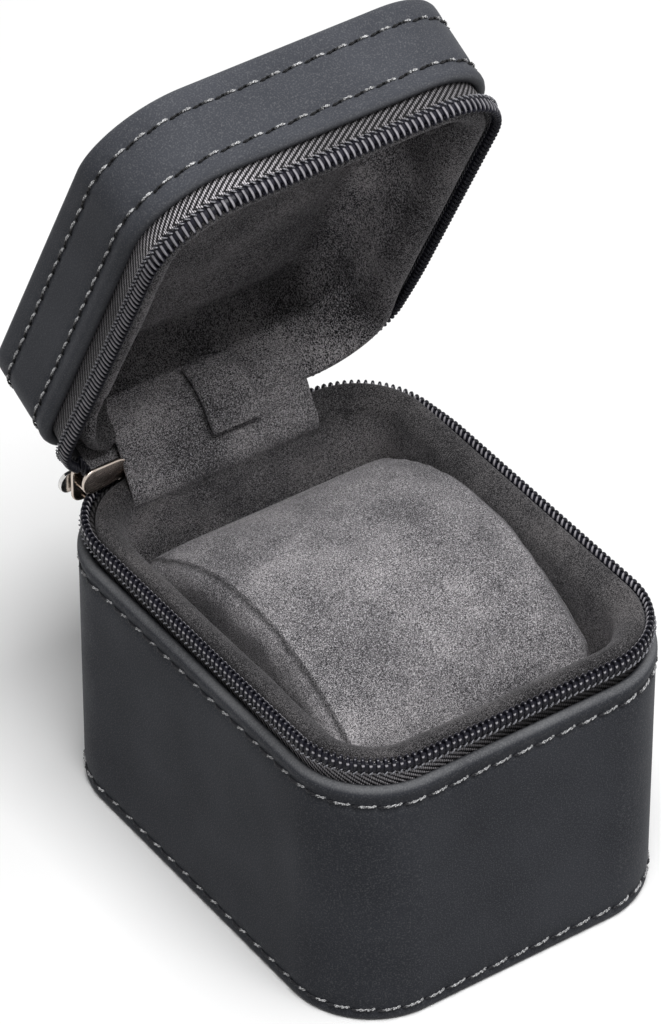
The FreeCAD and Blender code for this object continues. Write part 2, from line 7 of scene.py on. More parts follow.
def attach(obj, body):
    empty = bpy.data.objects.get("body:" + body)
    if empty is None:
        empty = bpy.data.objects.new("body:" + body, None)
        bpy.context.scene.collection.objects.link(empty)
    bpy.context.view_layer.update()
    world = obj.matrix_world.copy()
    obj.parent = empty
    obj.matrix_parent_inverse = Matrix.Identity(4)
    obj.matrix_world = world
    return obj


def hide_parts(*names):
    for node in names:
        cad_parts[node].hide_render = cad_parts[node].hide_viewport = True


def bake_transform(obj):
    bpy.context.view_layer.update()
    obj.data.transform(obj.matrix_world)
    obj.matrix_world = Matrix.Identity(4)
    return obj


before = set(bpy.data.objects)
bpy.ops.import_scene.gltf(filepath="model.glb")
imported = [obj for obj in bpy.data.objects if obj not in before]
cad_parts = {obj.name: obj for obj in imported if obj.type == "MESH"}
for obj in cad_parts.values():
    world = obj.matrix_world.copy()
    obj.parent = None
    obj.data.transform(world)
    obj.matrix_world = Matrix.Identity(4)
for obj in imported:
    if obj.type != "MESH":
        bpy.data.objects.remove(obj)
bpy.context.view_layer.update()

mm = 0.001
scene = bpy.context.scene
scene.view_settings.view_transform = "Standard"

# outer plan and levels of the case in millimetres, the lid as if it were shut
case = dict(
    width=70.0,
    depth=90.5,
    corner=16.0,
    baseTop=51.5,
    zipTop=56.8,
    lidZip=57.8,
    lidEdge=63.4,
    top=79.8,
    zipEnd=19.0,
    sewnFrom=43.5,
    sewnTo=71.4,
    liningBack=2.85,
    hingeY=44.45,
    hingeZ=58.2,
    openAngle=63.9,
)
straightX = case["width"] / 2 - case["corner"]
straightY = case["depth"] / 2 - case["corner"]
quarter = case["corner"] * math.pi / 2
runs = [straightX, quarter, 2 * straightY, quarter, 2 * straightX, quarter, 2 * straightY, quarter,
        straightX]
around = sum(runs)


def edgeAt(u):
    # point and outward direction at a distance round the plan, from the middle of the back leftwards
    u = u % around
    halfX, halfY = case["width"] / 2, case["depth"] / 2
    corners = [(sx * straightX, sy * straightY) for sx, sy in ((-1, 1), (-1, -1), (1, -1), (1, 1))]
    starts = [(0, halfY), (-halfX, straightY), (-straightX, -halfY), (halfX, -straightY), (straightX, halfY)]
    ways = [(-1, 0), (0, -1), (1, 0), (0, 1), (-1, 0)]
    for number, run in enumerate(runs):
        if u <= run or number == len(runs) - 1:
            break
        u -= run
    if number % 2 == 0:
        start, way = starts[number // 2], ways[number // 2]
        return Vector((start[0] + way[0] * u, start[1] + way[1] * u, 0)), Vector((way[1], -way[0], 0))
    turn = math.pi / 2 * (1 + number // 2) + u / case["corner"]
    out = Vector((math.cos(turn), math.sin(turn), 0))
    middle = corners[number // 2]
    return Vector((middle[0], middle[1], 0)) + out * case["corner"], out


def placeAt(u, inset, level):
    point, out = edgeAt(u)
    return Vector((point.x - out.x * inset, point.y - out.y * inset, level))


def openLid(point):
    # carries a point of the shut lid to where the lid stands
    turn = math.radians(case["openAngle"])
    y, z = point.y - case["hingeY"], point.z - case["hingeZ"]
    return Vector((point.x, case["hingeY"] + y * math.cos(turn) + z * math.sin(turn),
                   case["hingeZ"] - y * math.sin(turn) + z * math.cos(turn)))


def stepsBetween(start, end, count):
    return [start + (end - start) * step / count for step in range(count + 1)]


def smoothLine(points, pieces):
    # draws a soft curve through the corners of a profile
    line = []
    for number in range(len(points) - 1):
        a, b = points[max(number - 1, 0)], points[number]
        c, d = points[number + 1], points[min(number + 2, len(points) - 1)]
        for step in range(pieces):
            t = step / pieces
            line.append(tuple(
                0.5 * (2 * q + (r - p) * t + (2 * p - 5 * q + 4 * r - s) * t * t
                       + (3 * q - p - 3 * r + s) * t ** 3)
                for p, q, r, s in zip(a, b, c, d)))
    line.append(tuple(points[-1]))
    return line


def ease(t):
    t = min(max(t, 0), 1)
    return t * t * (3 - 2 * t)


def laps(count):
    # even distances once round the plan
    return [around * step / count for step in range(count)]


def zone(u, middle, reach, fade):
    # 1 round a place on the plan, and 0 away from it
    away = abs((u - middle + around / 2) % around - around / 2)
    return 1 - ease((away - reach) / fade)


def plainMesh(piece):
    # the mesh that a piece's modifiers give
    return bpy.data.meshes.new_from_object(piece.evaluated_get(bpy.context.evaluated_depsgraph_get()))


def settle(piece, body, slot, *nodes):
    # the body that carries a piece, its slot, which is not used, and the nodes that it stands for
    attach(piece, body)
    if nodes:
        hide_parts(*nodes)


def makePiece(name, shape, finish):
    # turns a bmesh in millimetres into an object in metres
    bmesh.ops.recalc_face_normals(shape, faces=shape.faces)
    bmesh.ops.scale(shape, vec=(mm, mm, mm), verts=shape.verts)
    mesh = bpy.data.meshes.new(name)
    shape.to_mesh(mesh)
    shape.free()
    mesh.materials.append(finish)
    mesh.polygons.foreach_set("use_smooth", [True] * len(mesh.polygons))
    piece = bpy.data.objects.new(name, mesh)
    scene.collection.objects.link(piece)
    return piece


def skin(shape, rows, looped=False, capped=True):
    # joins rows of corners with faces, and closes the two ends
    for near, far in zip(rows, rows[1:] + (rows[:1] if looped else [])):
        for spot in range(len(near)):
            beyond = (spot + 1) % len(near)
            shape.faces.new((near[spot], near[beyond], far[beyond], far[spot]))
    if capped:
        shape.faces.new(rows[0][::-1])
        shape.faces.new(rows[-1])


def sweep(name, distances, profile, finish, closed=True, lid=False, wear=None, ripple=None):
    # carries a closed profile of inset and level round the plan
    shape = bmesh.new()
    cloth = shape.loops.layers.uv.new("cloth")
    # this attribute holds wear and painted light and shade, given by the callback
    wearAndPaintedLightMark = shape.verts.layers.float.new("wear")
    rings, lengths = [], []
    for u in distances:
        ring, run = [], [0.0]
        outline = profile(u)
        for number, (inset, level) in enumerate(outline):
            point = placeAt(u, inset, level)
            if ripple:
                point = point + ripple(u, inset, point)
            corner = shape.verts.new(openLid(point) if lid else point)
            corner[wearAndPaintedLightMark] = wear(u, inset, level) if wear else 0
            ring.append(corner)
            after = outline[(number + 1) % len(outline)]
            run.append(run[-1] + math.hypot(after[0] - inset, after[1] - level))
        rings.append(ring)
        lengths.append(run)
    count = len(rings)
    for number in range(count if closed else count - 1):
        after = (number + 1) % count
        nearU = distances[number]
        farU = distances[after] if after else distances[0] + around
        for spot in range(len(rings[0])):
            beyond = (spot + 1) % len(rings[0])
            face = shape.faces.new((rings[number][spot], rings[after][spot], rings[after][beyond],
                                    rings[number][beyond]))
            run = lengths[number]
            low, high = run[spot], run[spot + 1]
            for loop, place in zip(face.loops, ((nearU, low), (farU, low), (farU, high), (nearU, high))):
                loop[cloth].uv = place
    if not closed:
        shape.faces.new(rings[0])
        shape.faces.new(rings[-1][::-1])
    return makePiece(name, shape, finish)


def loft(name, rings, finish, lid=False, wear=None):
    # joins rings of points into a closed form with a pole at each end
    shape = bmesh.new()
    cloth = shape.loops.layers.uv.new("cloth")
    # this attribute holds wear and painted light and shade, given by the callback
    wearAndPaintedLightMark = shape.verts.layers.float.new("wear")
    rows = []
    for ring in rings:
        row = []
        for point in ring:
            row.append(shape.verts.new(openLid(point) if lid else point))
            row[-1][wearAndPaintedLightMark] = wear(point) if wear else 0
        rows.append(row)
    skin(shape, rows, capped=False)
    for row, ring in ((rows[0], rings[0]), (rows[-1], rings[-1])):
        middle = sum(ring, Vector()) / len(ring)
        pole = shape.verts.new(openLid(middle) if lid else middle)
        pole[wearAndPaintedLightMark] = wear(middle) if wear else 0
        for spot in range(len(row)):
            shape.faces.new((row[spot], row[(spot + 1) % len(row)], pole))
    for face in shape.faces:
        for loop in face.loops:
            loop[cloth].uv = (loop.vert.co.x, loop.vert.co.y)
    return makePiece(name, shape, finish)


# materials
def addNode(tree, kind, settings, inputs):
    # a node with its settings, then the values or links of its sockets
    node = tree.nodes.new(kind)
    for key, value in (settings or {}).items():
        if key == "stops":
            while len(node.color_ramp.elements) < len(value):
                node.color_ramp.elements.new(0.5)
            for stop, (place, colour) in zip(node.color_ramp.elements, value):
                stop.position = place
                stop.color = (*colour, 1)
        else:
            setattr(node, key, value)
    for key, value in (inputs or {}).items():
        if isinstance(value, bpy.types.NodeSocket):
            tree.links.new(value, node.inputs[key])
        else:
            node.inputs[key].default_value = value
    return node


class Wire:
    # a socket that can stand in a sum
    def __init__(self, finish, socket):
        self.finish = finish
        self.socket = socket

    def work(self, operation, first, second=0.5):
        return self.finish.add("ShaderNodeMath", {"operation": operation}, {0: first, 1: second})

    def __add__(self, other):
        return self.work("ADD", self, other)

    def __radd__(self, other):
        return self.work("ADD", other, self)

    def __sub__(self, other):
        return self.work("SUBTRACT", self, other)

    def __rsub__(self, other):
        return self.work("SUBTRACT", other, self)

    def __mul__(self, other):
        return self.work("MULTIPLY", self, other)

    def __rmul__(self, other):
        return self.work("MULTIPLY", other, self)

    def __truediv__(self, other):
        return self.work("DIVIDE", self, other)

    def __rtruediv__(self, other):
        return self.work("DIVIDE", other, self)

    def __abs__(self):
        return self.work("ABSOLUTE", self)

    def part(self):
        return self.work("FRACT", self)


class Finish:
    # one material, or the sky: a shader and the nodes that feed it
    def __init__(self, name, owner=None, output="Material", shader="BsdfPrincipled", **values):
        self.owner = owner or bpy.data.materials.new(name)
        self.owner.use_nodes = True
        self.tree = self.owner.node_tree
        self.tree.nodes.clear()
        end = self.tree.nodes.new("ShaderNodeOutput" + output)
        self.shader = self.tree.nodes.new("ShaderNode" + shader)
        self.tree.links.new(self.shader.outputs[0], end.inputs[0])
        for key, value in values.items():
            self.shader.inputs[key.replace("_", " ")].default_value = value

    def add(self, kind, settings=None, inputs=None, out=0):
        given = {key: value.socket if isinstance(value, Wire) else value
                 for key, value in (inputs or {}).items()}
        return Wire(self, addNode(self.tree, kind, settings, given).outputs[out])

    def place(self):
        return self.add("ShaderNodeTexCoord", out="Object")

    def along(self, name):
        return self.add("ShaderNodeUVMap", {"uv_map": name})

    def attribute(self, name):
        return self.add("ShaderNodeAttribute", {"attribute_name": name}, None, "Fac")

    def seen(self):
        # 1 for rays that end in the picture, straight or mirrored, and 0 for those that carry light on
        kinds = ("Is Camera Ray", "Is Glossy Ray", "Is Transmission Ray")
        first, second, third = (self.add("ShaderNodeLightPath", out=kind) for kind in kinds)
        return first.work("MAXIMUM", first, first.work("MAXIMUM", second, third))

    def split(self, vector):
        first = self.add("ShaderNodeSeparateXYZ", None, {0: vector})
        return [Wire(self, output) for output in first.socket.node.outputs]

    def cloud(self, where, scale, detail=2.0, rough=0.5, swirl=0.0):
        return self.add("ShaderNodeTexNoise", None, {"Vector": where, "Scale": scale, "Detail": detail,
                                                     "Roughness": rough, "Distortion": swirl})

    def ramp(self, value, stops):
        return self.add("ShaderNodeValToRGB", {"stops": stops}, {0: value})

    def grey(self, value, low, high, start=0.0, end=1.0):
        return self.add("ShaderNodeMapRange", {"clamp": True},
                        {0: value, 1: start, 2: end, 3: low, 4: high})

    def mix(self, factor, first, second, how="MIX"):
        return self.add("ShaderNodeMix", {"data_type": "RGBA", "blend_type": how},
                        {0: factor, 6: first if isinstance(first, Wire) else (*first, 1),
                         7: second if isinstance(second, Wire) else (*second, 1)}, 2)

    def bump(self, height, distance, strength=1.0):
        return self.add("ShaderNodeBump", None, {"Height": height, "Distance": distance, "Strength": strength})

    def feed(self, **wires):
        for key, wire in wires.items():
            self.tree.links.new(wire.socket, self.shader.inputs[key.replace("_", " ")])
        return self.owner


leatherLook = dict(
    dark=(0.055, 0.058, 0.068),
    light=(0.073, 0.077, 0.090),
    rubbedAndHighlight=(0.21, 0.212, 0.22),
    grain=0.42,
    poreScale=1500.0,
    fineScale=3800.0,
    patchScale=60.0,
    grainDepth=0.00005,
)


def makeLeather(name, tone):
    look = leatherLook
    dark, light = (tuple(tone * part for part in look[key]) for key in ("dark", "light"))
    finish = Finish(name, Specular_IOR_Level=0.03)
    place = finish.place()
    pores = finish.add("ShaderNodeTexVoronoi", {"feature": "SMOOTH_F1"},
                       {"Vector": place, "Scale": look["poreScale"], "Smoothness": 0.55})
    fine = finish.cloud(place, look["fineScale"], 3.0)
    patches = finish.cloud(place, look["patchScale"], 3.0)
    wearAndPaintedLightMark = finish.attribute("wear")
    colour = finish.mix(finish.grey(patches, 0.0, 1.0, 0.3, 0.7), dark, light)
    colour = finish.mix(finish.grey(fine, 0.0, look["grain"], 0.50, 0.72), colour, look["rubbedAndHighlight"])
    uneven = finish.grey(patches * 0.5 + fine * 0.5, 0.35, 1.0, 0.35, 0.65)
    # the crest and the foot edge are painted paler, partly wear and partly a painted highlight
    colour = finish.mix(wearAndPaintedLightMark * uneven, colour, look["rubbedAndHighlight"])
    rough = finish.grey(patches, 0.50, 0.42, 0.3, 0.7) + fine * 0.08 - wearAndPaintedLightMark * 0.06
    height = pores * 0.7 + fine * 0.3
    return finish.feed(Base_Color=colour, Roughness=rough, Normal=finish.bump(height, look["grainDepth"], 0.8))


suedeLook = dict(
    dark=(0.010, 0.0097, 0.0105),
    middle=(0.074, 0.0715, 0.076),
    light=(0.30, 0.29, 0.30),
    napScale=6000.0,
    brushScale=75.0,
)


def makeSuede(name, shade, warm, contrast, depth, seam=None, stretch=(1, 1, 1), brushedAndPaintedShade=False):
    # stretch draws the nap out, and brushed multiplies the colour by the piece's own attribute, as painted
    # shade and light
    look = suedeLook
    finish = Finish(name, Specular_IOR_Level=0.1, Sheen_Weight=0.2, Sheen_Roughness=0.45,
                    Sheen_Tint=(0.75, 0.73, 0.76, 1))
    place = finish.place()
    laid = finish.add("ShaderNodeMapping", None, {"Vector": place, "Scale": stretch})
    nap = finish.cloud(laid, look["napScale"], 2.0, 0.6, 0.7)
    tufts = finish.cloud(laid, look["napScale"] * 0.35, 2.0, 0.5, 0.5)
    strokes = finish.cloud(place, look["brushScale"], 4.0, 0.6)
    speck = (nap * 1.5 + tufts * 0.2 + strokes * 0.4 - 1.05) * contrast + 0.5
    tones = ("dark", "middle", "light")
    dark, middle, light = (tuple(shade * part for part in look[tone]) for tone in tones)
    colour = finish.ramp(speck, [(0.33, dark), (0.50, middle), (0.68, light)])
    colour = finish.mix(finish.grey(strokes, 0.0, warm, 0.35, 0.7), colour, (1.0, 0.83, 0.66), "MULTIPLY")
    height = nap * 0.6 + tufts * 0.6
    if brushedAndPaintedShade:
        # painted shade and light: the colour is multiplied by the piece's attribute plus one
        paintedShadeFactor = finish.attribute("wear") + 1
        colour = finish.mix(1.0, colour, paintedShadeFactor, "MULTIPLY")
    if seam:
        sunk = finish.grey(abs(abs(finish.split(place)[0]) - seam), 1.0, 0.0, 0.0001, 0.0007)
        colour = finish.mix(sunk * 0.55, colour, dark)
        height = height - sunk * 3.0
    rough = finish.grey(nap, 0.98, 0.82, 0.3, 0.7)
    return finish.feed(Base_Color=colour, Roughness=rough, Normal=finish.bump(height, 0.00022, depth))


tapeLook = dict(
    gap=(0.005, 0.005, 0.006),
    yarn=(0.11, 0.105, 0.112),
    glint=(0.50, 0.48, 0.50),
    rib=1.6,
    slant=1.7,
    bead=0.42,
    apex=10.3,
    outside=12.4,
    bulge=115.2,
    glintLimit=1.8,
)


def makeTape(name, tone, paintedShadeAway):
    # a herringbone weave that follows the length of the tape, in millimetres of its own map,
    # painted light: pale at the front left corner, and painted shade dimming it away from that corner
    look = tapeLook
    finish = Finish(name, Specular_IOR_Level=0.2)
    yarn = tuple(tone * part for part in look["yarn"])
    glint = tuple(min(tone, look["glintLimit"]) * part for part in look["glint"])
    run, across, _ = finish.split(finish.along("cloth"))
    ribs = (run - abs(across - look["apex"]) * look["slant"]) / look["rib"]
    phase = ribs.part()
    ridge = 1 - abs(phase * 2 - 1)
    beads = (run / look["bead"] + (ribs - phase) * 0.5).part()
    height = ridge * (1.25 - abs(beads * 2 - 1) * 0.95)
    place = finish.place()
    speckle = finish.cloud(place, 2600.0, 2.0)
    colour = finish.mix(finish.grey(height, 0.0, 1.0, 0.15, 0.65), look["gap"], yarn)
    colour = finish.mix(finish.grey(height + speckle * 0.9, 0.0, 1.0, 0.8, 1.35), colour, glint)
    # painted light: full brightness at the front left corner, fading to painted shade away from it
    colour = finish.mix(1.0, colour, finish.grey(abs(run - look["bulge"]), 1.0, paintedShadeAway, 12.0, 30.0), "MULTIPLY")
    # painted shade: the tape's inner face takes the dark gap colour
    paintedShadeInside = finish.grey(across, 0.0, 1.0, look["outside"], look["outside"] + 0.4)
    colour = finish.mix(paintedShadeInside, colour, look["gap"])
    rough = finish.grey(speckle, 0.75, 0.5, 0.3, 0.7)
    return finish.feed(Base_Color=colour, Roughness=rough, Normal=finish.bump(height, 0.00025, 0.9))


coilLook = dict(
    dark=(0.007, 0.007, 0.011),
    light=(0.019, 0.019, 0.028),
    paintedHighlight=(0.62, 0.60, 0.64),
    shadeScale=900.0,
    roughScale=3000.0,
)


def makeCoil():
    # dark nylon, with a painted highlight on the crowns
    look = coilLook
    finish = Finish("coilNylon", Specular_IOR_Level=0.14)
    place = finish.place()
    shade = finish.cloud(place, look["shadeScale"], 2.0)
    # painted highlight: the teeth's glint attribute marks pale strokes and dots
    paintedHighlightMask = finish.attribute("glint")
    colour = finish.ramp(shade, [(0.3, look["dark"]), (0.7, look["light"])])
    colour = finish.mix(finish.grey(paintedHighlightMask + shade * 0.2, 0.0, 1.0, 0.5, 0.95), colour, look["paintedHighlight"])
    rough = finish.grey(finish.cloud(place, look["roughScale"], 2.0), 0.2, 0.4, 0.3, 0.7)
    return finish.feed(Base_Color=colour, Roughness=rough)


threadLook = dict(fibreScale=4200.0, lengthScale=420.0, sideFrom=0.031, sideTo=0.035, catch=0.12)


def makeThread(name, dark, light, start, sides=0.0):
    # one end of each stitch catches the light, from the share of its length that start gives,
    # and less on the case's sides
    look = threadLook
    finish = Finish(name, Specular_IOR_Level=0.3)
    place = finish.place()
    fibre = finish.cloud(place, look["fibreScale"], 2.0)
    length = finish.cloud(place, look["lengthScale"], 2.0)
    caught = finish.attribute("glint")
    side = finish.grey(abs(finish.split(place)[0]), 0.0, sides, look["sideFrom"], look["sideTo"])
    bright = finish.grey(caught + length * 0.4 - 0.2 - side, 0.0, 1.0, start, start + look["catch"])
    colour = finish.mix(bright * finish.grey(fibre, 0.12, 1.0, 0.38, 0.62), dark, light)
    rough = finish.grey(fibre, 0.65, 0.42, 0.3, 0.7)
    return finish.feed(Base_Color=colour, Roughness=rough, Normal=finish.bump(fibre, 0.00006, 0.7))


metalLook = dict(castScale=260.0, scratch=(400, 400, 6000))


def makeMetal(name, dark, light, low, high):
    finish = Finish(name, Metallic=1.0)
    place = finish.place()
    cast = finish.cloud(place, metalLook["castScale"], 3.0)
    brushedAndPaintedShade = finish.add("ShaderNodeMapping", None, {"Vector": place, "Scale": metalLook["scratch"]})
    scratch = finish.cloud(brushedAndPaintedShade, 1.0)
    colour = finish.mix(finish.grey(cast, 0.0, 1.0, 0.3, 0.7), dark, light)
    rough = finish.grey(scratch * 0.6 + cast * 0.4, low, high, 0.3, 0.7)
    return finish.feed(Base_Color=colour, Roughness=rough, Normal=finish.bump(scratch, 0.00001, 0.4))


boardLook = dict(dark=(0.16, 0.145, 0.125), light=(0.30, 0.28, 0.25), pulpScale=900.0)


def makeBoard():
    look = boardLook
    finish = Finish("greyBoard", Specular_IOR_Level=0.2)
    place = finish.place()
    pulp = finish.cloud(place, look["pulpScale"], 4.0, 0.6)
    colour = finish.ramp(pulp, [(0.3, look["dark"]), (0.7, look["light"])])
    return finish.feed(Base_Color=colour, Roughness=finish.grey(pulp, 0.85, 0.95),
                       Normal=finish.bump(pulp, 0.0001, 0.6))


# one slate leather in two copies: the lid's copy is painted lighter than the base's, painted light
leather = makeLeather("slateLeather", 0.77)
lidLeatherPaintedLighter = makeLeather("slateLeatherPaintedLighter", 0.98)
# one suede in several copies: the lid's and the hinge's are painted lighter than the lining's, painted light;
# the lining's and the lid's also take painted shade and light from their attribute
suede = makeSuede("liningSuede", 1.0, 0.12, 1.0, 0.9, brushedAndPaintedShade=True)
lidSuedePaintedShading = makeSuede("lidSuedePaintedShading", 1.12, 0.08, 1.5, 0.4, stretch=(1, 0.7, 0.6), brushedAndPaintedShade=True)
hingeSuedePaintedLight = makeSuede("hingeSuedePaintedLight", 1.78, 0.08, 1.1, 0.6)
cushionSuede = makeSuede("cushionSuede", 1.9, 0.06, 0.85, 0.9, 0.0238)
# one tape in two copies: the base's is painted lighter than the lid's, painted light
baseTapePaintedLighter = makeTape("baseTapePaintedLighter", 5.0, 0.12)
lidTape = makeTape("lidTape", 1.8, 0.45)
coilNylon = makeCoil()
baseThread = makeThread("paleThread", (0.020, 0.020, 0.024), (0.72, 0.72, 0.73), 0.20, 0.42)
lidThread = makeThread("darkThread", (0.005, 0.005, 0.006), (0.85, 0.85, 0.86), 0.50)
# one sewing thread in two copies: the inner row's pale part is painted darker, painted shade
outerSewing = makeThread("outerSewing", (0.012, 0.012, 0.016), (0.34, 0.34, 0.37), -0.2)
innerSewingPaintedShade = makeThread("innerSewingPaintedShade", (0.010, 0.010, 0.014), (0.09, 0.09, 0.10), -0.2)
nickel = makeMetal("darkNickel", (0.44, 0.36, 0.31), (0.62, 0.55, 0.49), 0.14, 0.30)
chrome = makeMetal("brightPlate", (0.55, 0.54, 0.53), (0.78, 0.77, 0.76), 0.10, 0.24)
board = makeBoard()
print("materials ready")


# rows of stitches, coil turns and sewing loops
def makeRowTree():
    tree = bpy.data.node_groups.new("rowAlongEdge", "GeometryNodeTree")
    face = tree.interface
    face.new_socket("Geometry", in_out="INPUT", socket_type="NodeSocketGeometry")
    for label, kind in (("Count", "Int"), ("Shape", "Object"), ("Lean", "Float"), ("Looseness", "Float"),
                        ("Seed", "Int"), ("Finish", "Material")):
        face.new_socket(label, in_out="INPUT", socket_type="NodeSocket" + kind)
    face.new_socket("Geometry", in_out="OUTPUT", socket_type="NodeSocketGeometry")

    def add(kind, settings=None, inputs=None, out=0):
        return addNode(tree, kind, settings, inputs).outputs[out]

    given = tree.nodes.new("NodeGroupInput").outputs
    spaced = add("GeometryNodeResampleCurve", {"mode": "COUNT"},
                 {"Curve": given["Geometry"], "Count": given["Count"]})
    shape = add("GeometryNodeObjectInfo", None, {"Object": given["Shape"]}, "Geometry")
    facing = add("FunctionNodeAlignRotationToVector", {"axis": "Y", "pivot_axis": "Z"},
                 {"Vector": add("GeometryNodeInputTangent")})
    loose = add("FunctionNodeRandomValue", None, {"Seed": given["Seed"]}, 1)
    spread = add("ShaderNodeMath", {"operation": "MULTIPLY_ADD"},
                 {0: loose, 1: given["Looseness"], 2: given["Lean"]})
    tilt = add("FunctionNodeAxisAngleToRotation", None, {"Axis": (1, 0, 0), "Angle": spread})
    turned = add("FunctionNodeRotateRotation", {"rotation_space": "LOCAL"},
                 {"Rotation": facing, "Rotate By": tilt})
    row = add("GeometryNodeInstanceOnPoints", None,
              {"Points": spaced, "Instance": shape, "Rotation": turned})
    real = add("GeometryNodeRealizeInstances", None, {"Geometry": row})
    done = add("GeometryNodeSetMaterial", None, {"Geometry": real, "Material": given["Finish"]})
    tree.links.new(done, tree.nodes.new("NodeGroupOutput").inputs[0])
    return tree


rowTree = makeRowTree()


def makeRow(name, points, closed, template, count, finish, lean=0.0, looseness=0.0, seed=1, carry=None,
            mirrored=False):
    # sets copies of a small shape along a line, and keeps the result as a plain mesh, moved by carry
    curve = bpy.data.curves.new(name + "Line", "CURVE")
    curve.dimensions = "3D"
    line = curve.splines.new("POLY")
    line.points.add(len(points) - 1)
    for spot, point in zip(line.points, points):
        spot.co = (*(point * mm), 1)
    line.use_cyclic_u = closed
    host = bpy.data.objects.new(name + "Line", curve)
    scene.collection.objects.link(host)
    rule = host.modifiers.new("row", "NODES")
    rule.node_group = rowTree
    values = dict(Count=count, Shape=template, Lean=lean, Looseness=looseness, Seed=seed, Finish=finish)
    for item in rowTree.interface.items_tree:
        if item.in_out == "INPUT" and item.name in values:
            rule[item.identifier] = values[item.name]
    mesh = plainMesh(host)
    mesh.name = name
    bpy.data.objects.remove(host)
    if carry:
        for corner in mesh.vertices:
            corner.co = carry(corner.co / mm) * mm
    if mirrored:
        mesh.flip_normals()
    mesh.polygons.foreach_set("use_smooth", [True] * len(mesh.polygons))
    piece = bpy.data.objects.new(name, mesh)
    scene.collection.objects.link(piece)
    return piece


def turns(count, shift=0.0):
    # even angles once round a circle
    return [2 * math.pi * (step + shift) / count for step in range(count)]


def tube(shape, points, radii, sides, closed):
    # skins a line of points, in the plane across X or near it, with a round section
    rings = []
    count = len(points)
    for number, (point, radius) in enumerate(zip(points, radii)):
        before = points[number - 1] if closed or number else point
        after = points[(number + 1) % count] if closed or number < count - 1 else point
        way = (after - before).normalized()
        side = way.cross(Vector((0.31, 0.95, 0.05))).normalized()
        up = side.cross(way).normalized()
        rings.append([shape.verts.new(point + (side * math.cos(turn) + up * math.sin(turn)) * radius)
                      for turn in turns(sides)])
    skin(shape, rings, closed, not closed)


def template(name, build):
    shape = bmesh.new()
    build(shape)
    return makePiece(name, shape, leather)


stitchRow = dict(count=68, length=4.1, ply=0.125, turns=2.0, rise=0.05, dive=0.5, lean=0.05, looseness=0.07)
stitchLevels = dict(baseRim=47.9, baseFoot=2.5, lidRim=66.95, lidTop=75.6)


def buildStitch(shape):
    # two plies twisted together, with both ends drawn into the leather
    row = stitchRow
    caught = shape.verts.layers.float.new("glint")
    for ply in (0, math.pi):
        points, radii = [], []
        for t in stepsBetween(0, 1, 10):
            turn = ply + row["turns"] * 2 * math.pi * t
            sag = row["rise"] - row["dive"] * abs(2 * t - 1) ** 5
            points.append(Vector((sag + row["ply"] * math.cos(turn), (t - 0.5) * row["length"],
                                  row["ply"] * math.sin(turn))))
            radii.append(row["ply"] * (1.15 if 0 < t < 1 else 0.8))
        tube(shape, points, radii, 4, False)
    for corner in shape.verts:
        corner[caught] = corner.co.y / row["length"] + 0.5


# the shines give the turns between which a tooth has a painted highlight, and how much
zipRow = dict(
    pitch=1.25,
    wire=0.37,
    head=0.29,
    inner=2.0,
    outer=0.4,
    foot=54.1,
    tip=57.45,
    middle=1.2,
    cordLevel=55.4,
    cordWide=0.52,
    cordTall=1.1,
    baseShine=[(0.0, 0.75, 1.0), (0.95, 1.5, 0.95), (1.75, 3.0, 0.8)],
    lidShine=[(-0.75, 1.35, 0.62), (1.8, 2.4, 0.5)],
)


def buildTooth(shape, shine):
    # one turn of the coil, an upright loop with a painted highlight along its edge
    row = zipRow
    sides, fade = 6, 0.3
    half = (row["inner"] - row["outer"]) / 2 - row["wire"]
    middle = (row["tip"] - row["foot"]) / 2
    reach = middle - row["wire"]
    points, radii = [], []
    for turn in turns(20):
        across, lift = math.cos(turn), math.sin(turn)
        points.append(Vector((half * math.copysign(abs(across) ** 0.7, across), 0.10 * across,
                              middle + reach * math.copysign(abs(lift) ** 0.8, lift))))
        radii.append(row["wire"] + (row["head"] - row["wire"]) * ease((lift - 0.3) / 0.6))
    caught = shape.verts.layers.float.new("glint")
    tube(shape, points, radii, sides, True)
    for number, corner in enumerate(shape.verts):
        point, radius = points[number // sides], radii[number // sides]
        x, z = point.x, point.z - middle
        facing = Vector((x / half ** 2, 0, z / reach ** 2)).normalized()
        edge = (corner.co - point).dot(facing) / radius
        turn = math.atan2(z / reach, x / half)
        corner[caught] = ease(edge) * max(strength * ease((turn - low) / fade) * ease((high - turn) / fade)
                                          for low, high, strength in shine)


def buildLoop(shape):
    # a loop of the sewing that holds the coil to its tape
    points = [(0.02, -0.48, -0.22), (0.16, -0.2, -0.12), (0.2, 0.15, 0.08), (0.04, 0.5, 0.22)]
    tube(shape, [Vector(point) for point in points], [0.1, 0.17, 0.17, 0.1], 5, False)


stitchShape = template("stitchShape", buildStitch)
baseTooth = template("baseTooth", lambda shape: buildTooth(shape, zipRow["baseShine"]))
lidTooth = template("lidTooth", lambda shape: buildTooth(shape, zipRow["lidShine"]))
loopShape = template("loopShape", buildLoop)

stitchRows = (
    ("baseRimStitches", "baseRim", "base_rim_thread", "base"),
    ("baseFootStitches", "baseFoot", "base_foot_thread", "base"),
    ("lidRimStitches", "lidRim", "lid_rim_thread", "lid"),
    ("lidTopStitches", "lidTop", "lid_top_thread", "lid"),
)
for number, (name, level, node, body) in enumerate(stitchRows):
    line = [placeAt(u, 0.0, stitchLevels[level]) for u in laps(480)]
    thread, carry = (lidThread, openLid) if body == "lid" else (baseThread, None)
    row = makeRow(name, line, True, stitchShape, stitchRow["count"], thread, stitchRow["lean"],
                  stitchRow["looseness"], 11 + number, carry)
    settle(row, body, "thread", node)
print("stitches sewn")


# leather bands of the base and the lid
bandLook = dict(pull=0.38, pullWidth=0.9, pucker=0.5, hem=8.0)


